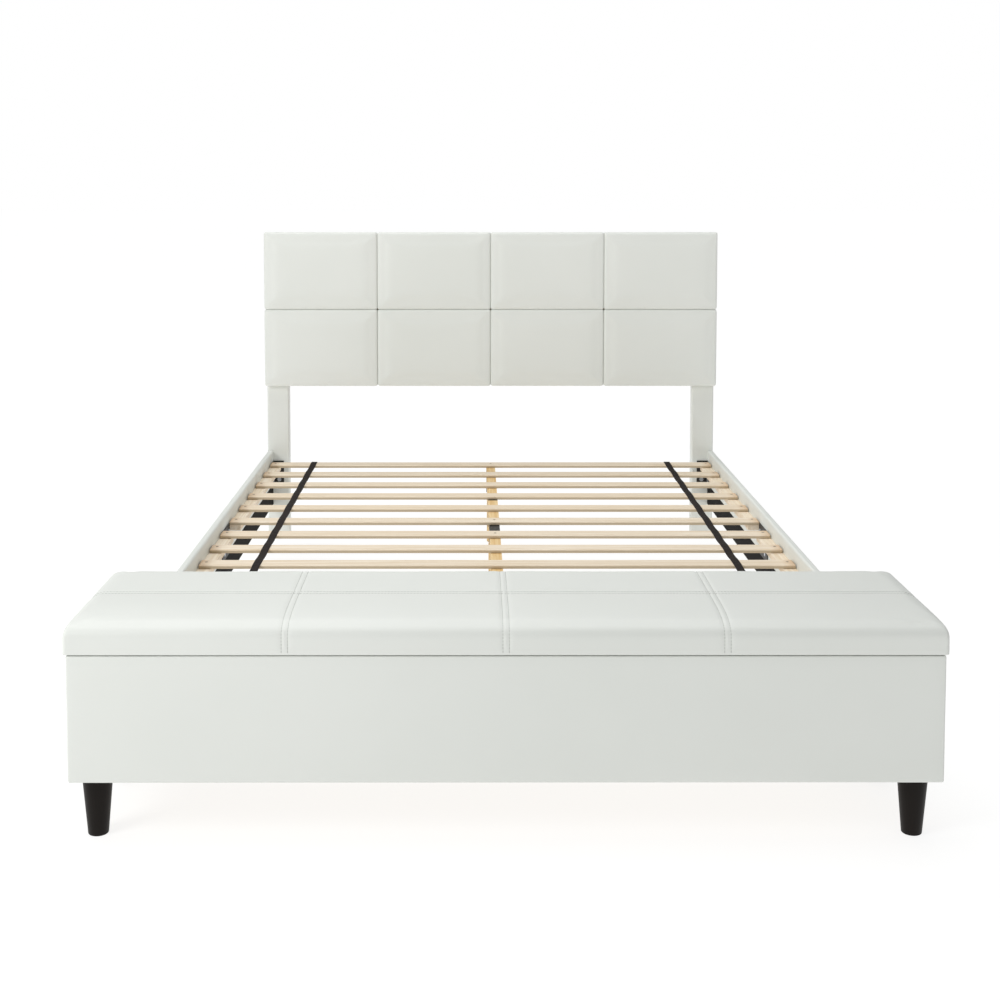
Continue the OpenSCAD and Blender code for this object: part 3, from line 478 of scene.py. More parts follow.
def bump(tree: Tree, height: Socket, depth_mm: float, **inputs: Socket) -> Socket:
    """Turns a pattern of the given depth into the surface's direction."""
    inputs |= {"Height": height, "Distance": depth_mm * MM}
    return add_node(tree, "ShaderNodeBump", inputs).outputs[0]


# ------------------------------------------------------------------ finishes


@dataclass(frozen=True)
class Finish:
    """A finish that can be laid on a piece. Patterns read Object coordinates, in metres."""

    name: str

    def shade(self, tree: Tree, place: Socket) -> dict[str, object]:
        """Builds the finish's pattern.

        Args:
            tree: the material's node tree.
            place: socket with the Object coordinates.

        Returns:
            Values and sockets for the surface shader, by input name.
        """
        raise NotImplementedError

    def make(self) -> Material:
        """Makes the material.

        Returns:
            The new material.
        """
        material = bpy.data.materials.new(self.name)
        material.use_nodes = True
        tree = material.node_tree
        tree.nodes.clear()
        place = add_node(tree, "ShaderNodeTexCoord").outputs["Object"]
        surface = add_node(tree, "ShaderNodeBsdfPrincipled", self.shade(tree, place))
        add_node(tree, "ShaderNodeOutputMaterial", {"Surface": surface.outputs[0]})
        return material


@dataclass(frozen=True)
class FauxLeather(Finish):
    """PVC upholstery cloth, calendered and embossed: a soft sheen over a fine calf grain.

    The emboss of about 1 mm is drawn twice as coarse, so that it shows.
    """

    colour: str = "#e7e9e4"
    shade_colour: str = "#dfe2dc"
    tone_mm: float = 333.0
    tone_detail: float = 3.0
    grain_mm: float = 2.2
    grain_depth_mm: float = 0.05
    slack_mm: float = 120.0
    slack_detail: float = 1.5
    slack_depth_mm: float = 0.5
    gloss: Span = (0.4, 0.5)
    ior: float = 1.5

    def shade(self, tree: Tree, place: Socket) -> dict[str, object]:
        """Builds grain and slackness as bump, and a slow change of tone."""
        tone = noise(tree, place, self.tone_mm, self.tone_detail)
        slack = noise(tree, place, self.slack_mm, self.slack_detail)
        grain = add_node(tree, "ShaderNodeTexVoronoi", {"Vector": place, "Scale": cells(self.grain_mm)})
        soft = bump(tree, slack, self.slack_depth_mm)
        return {
            "Base Color": mix(tree, tone, self.colour, self.shade_colour),
            "Roughness": remap(tree, slack, self.gloss),
            "IOR": self.ior,
            "Normal": bump(tree, grain.outputs["Distance"], self.grain_depth_mm, Normal=soft),
        }


@dataclass(frozen=True)
class SawnWood(Finish):
    """Planed pale wood: slow growth rings along the board, short dark pores and a dull skin.

    Towards its ends a board can be darkened by painted shade, and its sides below the height
    of its planed face can be darkened by painted shade too.
    """

    light: str = "#f3e6d2"
    dark: str = "#e3d0b4"
    pore: str = "#c4a67c"
    along: Grain = Grain.X
    ring_mm: Span = (420.0, 11.0)
    ring_detail: float = 4.0
    ring_twist: float = 1.2
    ring_span: Span = (0.38, 0.66)
    pore_mm: Span = (38.0, 1.4)
    pore_detail: float = 2.0
    pore_span: Span = (0.56, 0.78)
    pore_share: float = 0.4
    pore_depth_mm: float = 0.12
    board_mm: Span = (2600.0, 95.0)
    board_span: Span = (0.35, 0.7)
    board_share: float = 0.5
    roughness: float = 0.62
    # painted shade towards a board's ends: its colour, where it starts and ends, and how much
    brown: str = "#b98f5f"
    end_shade_mm: Span = (0.0, 1.0)
    end_shade_share: float = 0.0
    # painted shade on a board's sides below its planed face: its colour, the face's height, the band below
    # it, and how much
    sawn: str = "#b3a185"
    face_mm: float = 0.0
    side_shade_below_mm: Span = (1.2, 4.0)
    side_shade_share: float = 0.0

    def pattern(self, tree: Tree, place: Socket, sizes: Span, detail: float, twist: float = 0.0) -> Socket:
        """Adds a noise with cells of the first size along the grain and the second across it."""
        sizes_mm = [sizes[0] if axis is self.along else sizes[1] for axis in Grain]
        return noise(tree, stretch(tree, place, sizes_mm), METRE, detail, twist)

    def shade(self, tree: Tree, place: Socket) -> dict[str, object]:
        """Builds rings, pores, each board's tone, and painted shade at its ends and below its face."""
        rings = self.pattern(tree, place, self.ring_mm, self.ring_detail, self.ring_twist)
        pores = self.pattern(tree, place, self.pore_mm, self.pore_detail)
        board = self.pattern(tree, place, self.board_mm, 0.0)
        axes = add_node(tree, "ShaderNodeSeparateXYZ", {"Vector": place}).outputs
        reach = add_node(tree, "ShaderNodeMath", {0: axes[self.along.value]}, operation="ABSOLUTE").outputs[0]
        # ends and edges bound the painted shade: towards the board's ends, and on its sides below the face
        ends = tuple(place_mm * MM for place_mm in self.end_shade_mm)
        edges = tuple((self.face_mm - below_mm) * MM for below_mm in self.side_shade_below_mm)
        colour = mix(tree, remap(tree, rings, (0.0, 1.0), self.ring_span), self.light, self.dark)
        for share, other in (
            (remap(tree, board, (0.0, self.board_share), self.board_span), self.dark),
            (remap(tree, pores, (0.0, self.pore_share), self.pore_span), self.pore),
            # painted shade towards the board's ends
            (remap(tree, reach, (0.0, self.end_shade_share), ends), self.brown),
            # painted shade on the sides below the planed face
            (remap(tree, axes[2], (0.0, self.side_shade_share), edges), self.sawn),
        ):
            colour = mix(tree, share, colour, other)
        return {
            "Base Color": colour,
            "Roughness": self.roughness,
            "Normal": bump(tree, pores, self.pore_depth_mm),
        }


@dataclass(frozen=True)
class ParticleBoard(Finish):
    """Pressed wood chips, sawn and bare: a speckle of light and dark chips, quite dull."""

    light: str = "#cdb997"
    dark: str = "#a8906a"
    chip_mm: float = 4.0
    chip_depth_mm: float = 0.15
    roughness: float = 0.8

    def shade(self, tree: Tree, place: Socket) -> dict[str, object]:
        """Builds the chips as cells with a tone each."""
        chips = add_node(tree, "ShaderNodeTexVoronoi", {"Vector": place, "Scale": cells(self.chip_mm)})
        tone = add_node(tree, "ShaderNodeSeparateColor", {0: chips.outputs["Color"]}).outputs
        return {
            "Base Color": mix(tree, tone[0], self.light, self.dark),
            "Roughness": self.roughness,
            "Normal": bump(tree, tone[1], self.chip_depth_mm),
        }


@dataclass(frozen=True)
class Skin(Finish):
    """A skin of one or two tones with a fine pattern in relief or gloss.

    The tones are mixed by the fine pattern too, or by a slower one where its size is given.
    """

    colour: str
    second: str = ""
    tone_mm: float = 0.0
    tone_detail: float = 3.0
    cell_mm: float = 1.0
    upright_mm: float = 0.0
    detail: float = 2.0
    twist: float = 0.0
    depth_mm: float = 0.0
    roughness: float = 0.5
    gloss: Span | None = None
    metallic: float = 0.0
    specular: float = 0.5

    def shade(self, tree: Tree, place: Socket) -> dict[str, object]:
        """Builds the patterns and lays them where they are asked for."""
        sizes_mm = (self.cell_mm, self.cell_mm, self.upright_mm or self.cell_mm)
        pattern = noise(tree, stretch(tree, place, sizes_mm), METRE, self.detail, self.twist)
        tone = noise(tree, place, self.tone_mm, self.tone_detail) if self.tone_mm else pattern
        values = {
            "Base Color": to_linear(self.colour),
            "Roughness": remap(tree, pattern, self.gloss) if self.gloss else self.roughness,
            "Metallic": self.metallic,
            "Specular IOR Level": self.specular,
        }
        if self.second:
            values["Base Color"] = mix(tree, tone, self.colour, self.second)
        if self.depth_mm:
            values["Normal"] = bump(tree, pattern, self.depth_mm)
        return values


@dataclass(frozen=True)
class Webbing(Finish):
    """Woven polyester webbing: a plain weave of thick cross threads, with a slight sheen."""

    colour: str = "#1f1917"
    thread: str = "#342c28"
    thread_mm: float = 2.0
    thread_depth_mm: float = 0.4
    roughness: float = 0.85
    specular: float = 0.25

    def shade(self, tree: Tree, place: Socket) -> dict[str, object]:
        """Builds the weave as the product of two rows of waves, one across the other."""
        waves = {"Vector": place, "Scale": WAVE_PERIOD * cells(self.thread_mm)}
        warp, weft = (
            add_node(tree, "ShaderNodeTexWave", waves, bands_direction=axis).outputs["Fac"] for axis in "XY"
        )
        weave = add_node(tree, "ShaderNodeMath", {0: warp, 1: weft}, operation="MULTIPLY").outputs[0]
        return {
            "Base Color": mix(tree, weave, self.colour, self.thread),
            "Roughness": self.roughness,
            "Specular IOR Level": self.specular,
            "Normal": bump(tree, weave, self.thread_depth_mm),
        }


@dataclass(frozen=True)
class Thread(Finish):
    """Spun polyester thread in the cover's colour, with painted shade in bands where its plies turn."""

    colour: str = "#b6b8b2"
    # painted shade in the grooves between the plies
    twist: str = "#90938c"
    ply_mm: float = 1.0
    roughness: float = 0.7

    def shade(self, tree: Tree, place: Socket) -> dict[str, object]:
        """Builds the twist as narrow bands of painted shade."""
        waves = {"Vector": place, "Scale": WAVE_PERIOD * cells(self.ply_mm)}
        ply = add_node(tree, "ShaderNodeTexWave", waves, bands_direction="DIAGONAL")
        return {
            "Base Color": mix(tree, ply.outputs["Fac"], self.colour, self.twist),
            "Roughness": self.roughness,
        }


@dataclass(frozen=True)
class StudioFloor(Finish):
    """White acrylic floor lit from below, dull and even, that grows brighter away from the bed.

    The glow changes between two distances from the bed's middle, in metres.
    """

    colour: str = "#858584"
    glow: Span = (0.845, 0.92)
    glow_reach: Span = (2.0, 7.0)
    wear_mm: float = 500.0
    wear_detail: float = 2.0
    gloss: Span = (0.8, 0.95)

    def shade(self, tree: Tree, place: Socket) -> dict[str, object]:
        """Builds a barely uneven gloss, and the glow from the distance to the centre."""
        wear = noise(tree, place, self.wear_mm, self.wear_detail)
        away = add_node(tree, "ShaderNodeVectorMath", {0: place}, operation="LENGTH").outputs["Value"]
        glow = remap(tree, away, self.glow, self.glow_reach, interpolation_type="SMOOTHSTEP")
        return {
            "Base Color": to_linear(self.colour),
            "Roughness": remap(tree, wear, self.gloss),
            "Specular IOR Level": 0.0,
            "Emission Color": WHITE,
            "Emission Strength": glow,
        }


# ------------------------------------------------------------------ soft pieces


@dataclass
class HeadboardPads:
    """Eight puffy pads in two rows, drawn in along their seams and wrapped round the board.

    The falls of edge and crown are each given as reach and drop.
    """

    leather: Material
    across: int = 4
    up: int = 2
    corner: float = 6.0
    edge: Span = (9.0, 4.0)
    crown: Span = (50.0, 6.5)
    crown_start: float = 24.0
    spacing: float = 7.5
    close: tuple[float, ...] = (0.0, 0.4, 1.2, 2.5, 4.3, 6.6, 9.4, 13.0)
    seam_gap: float = 0.1
    front_room: float = 1.0
    back_room: float = 0.2
    start_room: float = 1.0
    pinch: float = 1.2
    pinch_reach: float = 6.0
    pinch_depth: float = 4.0
    held_share: float = 0.6
    held_reach: float = 3.0
    inflation: Inflation = Inflation(cap=3.0, pressure=0.8)
    fill: float = 0.8

    def base(self, width: float, height: float, front: float, back: float) -> Piece:
        """Builds one pad's start shape, centred: a slab whose face falls slowly, then fast.

        Args:
            width: width of the pad.
            height: height of the pad.
            front: Y of its face.
            back: Y of its back.

        Returns:
            The closed slab.
        """
        u = stations(width, self.close, self.spacing, [])
        v = stations(height, self.close, self.spacing, [])
        sides, ends = (
            fall(distance, *self.edge) + fall(distance, *self.crown)
            for distance in (np.minimum(u, width - u), np.minimum(v, height - v))
        )
        top = back - front - join_falls(sides, ends)
        rings = pillow(u, v, top, self.corner, len(self.close))
        placed = np.stack([rings[..., 0] - width / 2, back - rings[..., 2], rings[..., 1] - height / 2], -1)
        return loft("pad_base", placed)

    def held(self, points: Array) -> Array:
        """Tells where the cover is stapled: everywhere behind the rounding of its front edge.

        Args:
            points: the start shape's points.

        Returns:
            How firmly each is held, 0 to 1.
        """
        board_low, _ = node_box("headboard_board")
        start = board_low[1] - self.crown_start + (self.edge[1] + self.crown[1]) * self.held_share
        return np.clip((points[:, 1] - start) / self.held_reach, 0.0, 1.0)

    def fit(self, points: Array, column: int, row: int) -> Array:
        """Sets the swollen pad into its cell.

        Odd columns and the upper row are mirrored, so that neighbours differ. A point behind
        the board's face is brought in front of it, or left in the rim that goes round the
        board, and that rim is drawn in by pinch * exp(-(d / reach) ** 2) beside a seam.

        Args:
            points: the pad's points, about its own centre.
            column: place from the left.
            row: place from the bottom.

        Returns:
            The points in the frame.
        """
        low, high = node_box("headboard_cushion")
        board_low, board_high = node_box("headboard_board")
        cell = (high - low)[[0, 2]] / (self.across, self.up)
        placed = points * np.array([-1.0 if column % 2 else 1.0, 1.0, -1.0 if row % 2 else 1.0])
        half = cell / 2 - self.seam_gap
        placed[:, [0, 2]] = np.clip(placed[:, [0, 2]], -half, half)
        placed[:, [0, 2]] += low[[0, 2]] + (np.array([column, row]) + 0.5) * cell
        placed[:, 1] = np.clip(placed[:, 1], low[1] - self.front_room, high[1] - self.back_room)
        self.draw_in(placed, low, high, cell)
        inside = over_board(placed[:, [0, 2]], board_low[[0, 2]], board_high[[0, 2]])
        before = np.minimum(placed[:, 1], board_low[1] - BOARD_CLEAR)
        placed[:, 1] = np.where(inside, before, placed[:, 1])
        return placed

    def draw_in(self, placed: Array, low: Array, high: Array, cell: Array) -> None:
        """Draws the panel's outer rim in where a seam runs over it.

        Args:
            placed: a pad's points in the frame, changed in place.
            low: lowest corner of the panel.
            high: highest corner of the panel.
            cell: width and height of a pad.
        """
        for rim, along, size in ((2, 0, cell[0]), (0, 2, cell[1])):
            count = round((high[along] - low[along]) / size)
            seams = [low[along] + size * k for k in range(1, count)]
            near = dips([placed[:, along] - seam for seam in seams], self.pinch_reach)
            centre = (low[rim] + high[rim]) / 2
            outer = np.abs(placed[:, rim] - centre) > (high[rim] - low[rim]) / 2 - self.pinch_depth
            placed[:, rim] -= np.sign(placed[:, rim] - centre) * outer * near * self.pinch

    def build(self) -> list[Piece]:
        """Builds, swells and dresses the eight pads.

        Returns:
            The pads.
        """
        low, high = node_box("headboard_cushion")
        board_low, _ = node_box("headboard_board")
        width = (high[0] - low[0]) / self.across - 2 * self.seam_gap
        height = (high[2] - low[2]) / self.up - 2 * self.seam_gap
        base = self.base(width, height, board_low[1] - self.crown_start, high[1] - self.start_room)
        self.inflation.swell(base, self.held)
        points = mesh_points(base)
        pads = []
        for row in range(self.up):
            for column in range(self.across):
                mesh = base.data.copy()
                pad = link(bpy.data.objects.new(f"headboard_pad_{row}{column}", mesh))
                move_points(pad, self.fit(points, column, row))
                if (column % 2) != (row % 2):
                    mesh.flip_normals()
                subdivide(pad)
                self.dress(pad)
                pads.append(pad)
        bpy.data.objects.remove(base)
        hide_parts("headboard_cushion")
        return pads

    def dress(self, pad: Piece) -> None:
        """Gives a pad its cover and its body.

        Args:
            pad: the pad in its place.
        """
        pad.data.materials.append(self.leather)
        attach(pad, "frame")


@dataclass
class LidCushion:
    """Padded lid of the chest: rounded over its front, with flat sewn seams across and along.

    The falls to the front, in its turn, to the ends and to the back are each given as reach
    and drop.
    """

    leather: Material
    height: float = 62.0
    front: Span = (130.0, 18.0)
    turn: Span = (20.0, 12.0)
    ends: Span = (26.0, 26.0)
    back: Span = (16.0, 16.0)
    corner: float = 8.0
    over_ends: float = 2.0
    spacing: float = 8.0
    close: tuple[float, ...] = (0.0, 0.7, 2.0, 4.0, 5.4, 6.6, 8.4, 12.0, 17.0, 23.0)
    seams: int = 3
    seam_from_back: float = 178.0
    seam_depth: float = 1.1
    seam_reach: float = 3.6
    row_gap: float = 12.0
    face_from: float = 30.0
    lean_from: float = 8.0
    lean_reach: float = 40.0
    held_reach: float = 8.0
    inflation: Inflation = Inflation(cap=3.0, pressure=2.0)
    fill: float = 0.85

    def seams_across(self) -> list[float]:
        """Gives the X of each seam that runs from the back to the front."""
        low, high = node_box("lid_cushion")
        return [low[0] + (high[0] - low[0]) * k / (self.seams + 1) for k in range(1, self.seams + 1)]

    def base(self) -> Piece:
        """Builds the start shape: a slab whose face falls slowly to the front, faster elsewhere.

        Returns:
            The closed slab.
        """
        low, high = node_box("lid_cushion")
        length, width = high[0] - low[0] + 2 * self.over_ends, high[1] - low[1]
        across = [seam - low[0] + self.over_ends for seam in self.seams_across()]
        u = stations(length, self.close, self.spacing, across)
        v = stations(width, self.close, self.spacing, [width - self.seam_from_back])
        ends = fall(np.minimum(u, length - u), *self.ends)
        sides = fall(v, *self.front) + fall(v, *self.turn) + fall(width - v, *self.back)
        rings = pillow(u, v, self.height - join_falls(ends, sides), self.corner, len(self.close))
        return loft("lid_padding", rings + low - np.array([self.over_ends, 0.0, 0.0]))

    def held(self, points: Array) -> Array:
        """Tells where the cover is stapled: under the board and up its edges."""
        low, _ = node_box("lid_cushion")
        return np.clip((low[2] + self.face_from - points[:, 2]) / self.held_reach, 0.0, 1.0)

    def settle(self, points: Array) -> Array:
        """Lays the swollen cushion on its board and sews the seams.

        A point under the board's top within the board's outline is lifted on to it. Each row
        of stitches draws the cover in by depth * exp(-(d / reach) ** 2), with d the distance:
        down on the face, and to the back on the front wall.

        Args:
            points: the cushion's points.

        Returns:
            The points after sewing.
        """
        low, high = node_box("lid_cushion")
        board_low, board_high = node_box("lid_board")
        out = points.copy()
        above = out[:, 2] > low[2] + self.face_from
        rows = [out[:, 1] - (high[1] - self.seam_from_back) - s * self.row_gap / 2 for s in (-1, 1)]
        for seam in self.seams_across():
            rows += [out[:, 0] - seam - s * self.row_gap / 2 for s in (-1, 1)]
        drawn = self.seam_depth * dips(rows, self.seam_reach)
        front = np.clip((low[1] + self.lean_reach - out[:, 1]) / self.lean_reach, 0.0, 1.0) ** 2
        lean = np.where(out[:, 2] > low[2] + self.lean_from, front, 0.0)
        out[:, 2] -= np.where(above, drawn * (1 - lean), 0.0)
        out[:, 1] += drawn * lean
        lifted = np.maximum(out[:, 2], board_high[2] + BOARD_CLEAR)
        out[:, 2] = np.where(over_board(out[:, :2], board_low[:2], board_high[:2]), lifted, out[:, 2])
        return out

    def build(self) -> Piece:
        """Builds, swells, sews and dresses the cushion.

        Returns:
            The cushion.
        """
        cushion = self.base()
        self.inflation.swell(cushion, self.held)
        move_points(cushion, self.settle(mesh_points(cushion)))
        subdivide(cushion)
        cushion.data.materials.append(self.leather)
        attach(cushion, "lid")
        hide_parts("lid_cushion")
        return cushion


@dataclass
class LidStitching:
    """Rows of single stitches, each a short arched thread that dips into the cover.

    The rows are found by probes from outside: each set has the distance of its first probe
    from one border, of its last one from the other, and the step between two.
    """

    thread: Material
    cushion: LidCushion
    pitch: float = 6.5
    stitch: float = 5.4
    radius: float = 0.45
    sunk: float = 0.2
    taper: tuple[float, ...] = (0.45, 0.9, 1.0, 0.9, 0.45)
    sides: int = 6
    probe_from: float = 40.0
    face_probes: tuple[float, float, float] = (3.0, 30.0, 3.0)
    wall_probes: tuple[float, float, float] = (14.0, 3.0, 2.0)
    long_probes: tuple[float, float, float] = (6.0, 6.0, 4.0)

    def follow(self, tree: BVHTree, line: Array, ways: list[Way]) -> Array:
        """Follows the cover along a line of probes from outside and sets a stitch every pitch.

        Args:
            tree: the finished cushion.
            line: where each probe starts, in millimetres.
            ways: direction of each probe.

        Returns:
            Start, end and outward direction of each stitch, as rows of nine numbers.
        """
        probes = zip((line * MM).tolist(), ways)
        found = [tree.ray_cast(Vector(start), Vector(way))[:2] for start, way in probes]
        path = np.array([(*(np.array(hit) / MM), *normal) for hit, normal in found if hit is not None])
        run = np.concatenate([[0.0], np.cumsum(np.linalg.norm(np.diff(path[:, :3], axis=0), axis=1))])
        begins = np.arange(self.pitch / 2, run[-1] - self.stitch, self.pitch)
        start, end = (
            np.stack([np.interp(spots, run, column) for column in path.T], -1)
            for spots in (begins, begins + self.stitch)
        )
        return np.concatenate([start[:, :3], end[:, :3], (start + end)[:, 3:] / 2], 1)

    def threads(self, stitches: Array) -> Piece:
        """Builds every stitch at once, as rings of points along an arch.

        A ring's centre lies at start + (end - start) t, lifted by 4 t (1 - t) radii, and its
        radius shrinks towards both ends, where the thread goes into the cover.

        Args:
            stitches: rows of start, end and outward direction.

        Returns:
            The threads as one piece.
        """
        start, end, up = stitches[:, :3], stitches[:, 3:6], stitches[:, 6:]
        up = up / np.linalg.norm(up, axis=1, keepdims=True)
        along = (end - start) / np.linalg.norm(end - start, axis=1, keepdims=True)
        side = np.cross(up, along)
        t = np.linspace(0.0, 1.0, len(self.taper))
        lift = (4 * t * (1 - t) * self.radius - self.sunk)[None, :, None]
        centre = start[:, None] + (end - start)[:, None] * t[None, :, None] + up[:, None] * lift
        thick = self.radius * np.array(self.taper)[None, :, None, None]
        angle = np.linspace(0.0, 2 * np.pi, self.sides, endpoint=False)[None, None, :, None]
        round_it = np.cos(angle) * side[:, None, None] + np.sin(angle) * up[:, None, None]
        points = (centre[:, :, None] + thick * round_it).reshape(-1, 3)
        faces = tube_faces(len(self.taper), self.sides, tubes=len(stitches))
        return write_mesh("lid_stitches", points, faces)

    def build(self, cushion_piece: Piece) -> Piece:
        """Sews all rows on the finished cushion.

        Args:
            cushion_piece: the cushion with its live modifiers.

        Returns:
            The threads.
        """
        low, high = node_box("lid_cushion")
        tree = BVHTree.FromObject(cushion_piece, bpy.context.evaluated_depsgraph_get())
        half = self.cushion.row_gap / 2
        down, into = (0.0, 0.0, -1.0), (0.0, 1.0, 0.0)
        over, before = high[2] + self.probe_from, low[1] - self.probe_from
        first, last, step = self.face_probes
        ys = np.arange(high[1] - first, low[1] + last, -step)
        first, last, step = self.wall_probes
        zs = np.arange(high[2] - first, low[2] + last, -step)
        first, last, step = self.long_probes
        xs = np.arange(low[0] + first, high[0] - last, step)
        rows = []
        for seam in self.cushion.seams_across():
            for x in (seam - half, seam + half):
                line = [(x, y, over) for y in ys] + [(x, before, z) for z in zs]
                rows.append(self.follow(tree, np.array(line), [down] * len(ys) + [into] * len(zs)))
        for y in (high[1] - self.cushion.seam_from_back + s * half for s in (-1, 1)):
            rows.append(self.follow(tree, np.array([(x, y, over) for x in xs]), [down] * len(xs)))
        threads = self.threads(np.concatenate(rows))
        threads.data.materials.append(self.thread)
        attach(threads, "lid")
        return threads


@dataclass(frozen=True)
class Ripple:
    """A wave of slackness: its share, its lengths over 2 pi along X, Y and Z, and its phase."""

    share: float
    x: float
    y: float = np.inf
    z: float = np.inf
    phase: float = 0.0

    def at(self, x: Array, y: Array, z: Array) -> Array:
        """Gives the wave as share * sin(x / X + y / Y + z / Z + phase)."""
        return self.share * np.sin(x / self.x + y / self.y + z / self.z + self.phase)


@dataclass
class ChestUpholstery:
    """Cover of the chest's four sides, over thin wadding and turned in at both rims."""

    leather: Material
    corner: float = 4.0
    edge: float = 4.0
    thickness: float = 3.0
    spacing: float = 22.0
    rise_points: int = 14
    slack: float = 0.7
    ripples: tuple[Ripple, ...] = (
        Ripple(0.5, 83.0, y=61.0),
        Ripple(0.3, 37.0, phase=1.3),
        Ripple(0.2, 140.0, z=23.0),
    )

    def profile(self, height: float, turned_in: float) -> Array:
        """Gives the cover's closed cross-section as distance inwards and height.

        The outer face runs up from a quarter round of the edge's radius to another one, then
        in over the rim, and back along the board's surfaces.

        Args:
            height: height of the box.
            turned_in: how far the cover reaches in over the boards' edges.

        Returns:
            Rows of inset and height.
        """
        bottom, top = eased_ends(height, self.edge, ARC_POINTS)
        rise = np.linspace(self.edge, height - self.edge, self.rise_points)[1:-1]
        face = np.stack([np.zeros_like(rise), rise], -1)
        t, inner = self.thickness, turned_in
        back = [(inner, height), (inner, height - t), (t, height - t), (t, t), (inner, t), (inner, 0.0)]
        return np.concatenate([bottom, face, top, np.array(back)])

    def build(self) -> Piece:
        """Carries the cross-section round the box, with a slight slackness on the outer face.

        Past the corners' radius the inner outline is a plain rectangle. The slackness grows
        as the root of sin(pi z / height), so that the rims stay straight.

        Returns:
            The cover.
        """
        low, high = node_box("chest_cover")
        board_low, board_high = node_box("chest_back_board")
        size, centre = high - low, (low + high) / 2
        section = self.profile(size[2], self.thickness + board_high[1] - board_low[1])
        outline, outward = rounded_outline(size[:2], self.corner, self.spacing)
        inset = section[:, 0][:, None, None]
        limit = size[:2] / 2 - inset
        flat = np.clip(outline - outward * np.minimum(inset, self.corner), -limit, limit)
        height = np.broadcast_to(section[:, 1][:, None], flat.shape[:2])
        bulge = np.sqrt(np.sin(np.pi * np.clip(height / size[2], 0, 1)))
        ripple = sum(wave.at(outline[:, 0], outline[:, 1], height) for wave in self.ripples)
        outer = (section[:, 0] <= self.edge)[:, None]
        flat = flat + outward * (outer * self.slack * bulge * ripple)[..., None]
        rings = np.concatenate([flat + centre[:2], (height + low[2])[..., None]], -1)
        cover = loft("chest_upholstery", rings, closed=True)
        cover.data.materials.append(self.leather)
        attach(cover, "frame")
        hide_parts("chest_cover")
        return cover


@dataclass
class TurnedFeet:
    """Tapered round feet with eased edges, under the chest's corners."""

    stain: Material
    top_radius: float = 30.0
    bottom_radius: float = 19.5
    eased: float = 2.0
    eased_points: int = 6
    bottom_inset: float = 6.0
    top_inset: float = 8.0
    around: int = 64

    def build(self) -> list[Piece]:
        """Turns the four feet: radius as a straight taper, eased by quarter rounds at its ends.

        Returns:
            The feet.
        """
        low, high = node_box("chest_feet")
        height = high[2] - low[2]
        foot_end, top_end = eased_ends(height, self.eased, self.eased_points)
        ends = [(self.bottom_inset, 0.0)], [(self.top_inset, height)]
        inset, rise = np.concatenate([ends[0], foot_end, top_end, ends[1]]).T[..., None]
        radius = self.bottom_radius + (self.top_radius - self.bottom_radius) * rise / height - inset
        angle = np.linspace(0, 2 * np.pi, self.around, endpoint=False)
        feet = []
        for x in (low[0] + self.top_radius, high[0] - self.top_radius):
            for y in (low[1] + self.top_radius, high[1] - self.top_radius):
                parts = [x + radius * np.cos(angle), y + radius * np.sin(angle), rise + low[2] + 0 * angle]
                foot = loft(f"chest_foot_{len(feet)}", np.stack(parts, -1))
                foot.data.materials.append(self.stain)
                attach(foot, "frame")
                feet.append(foot)
        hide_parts("chest_feet")
        return feet


# ------------------------------------------------------------------ the carried-over pieces


@dataclass
class CarriedPieces:
    """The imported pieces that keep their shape, each with its own finish or its slot's."""

    finishes: dict[str, Material]

    def dress(self, frame: dict[str, object]) -> int:
        """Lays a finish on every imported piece.


        Returns:
            Number of pieces dressed.
        """
        slots = {part["node"]: part["material_slot"] for part in frame["record"]["subparts"]}
        for name, piece in frame["nodes"].items():
            finish = self.finishes[name] if name in self.finishes else self.finishes[slots[name]]
            if not piece.data.materials:
                piece.data.materials.append(finish)
            for slot in piece.material_slots:
                slot.material = finish
        return len(slots)


def powder_coat(name: str, colour: str = "#131211", worn: str = "#1e1c1a", metallic: float = 0.0) -> Material:
    """Makes powder-coated or browned steel: a satin skin with worn blots and a faint orange peel."""
    peel = {"cell_mm": 1.5, "depth_mm": 0.04}
    return Skin(name, colour, worn, tone_mm=33.3, metallic=metallic, **peel).make()


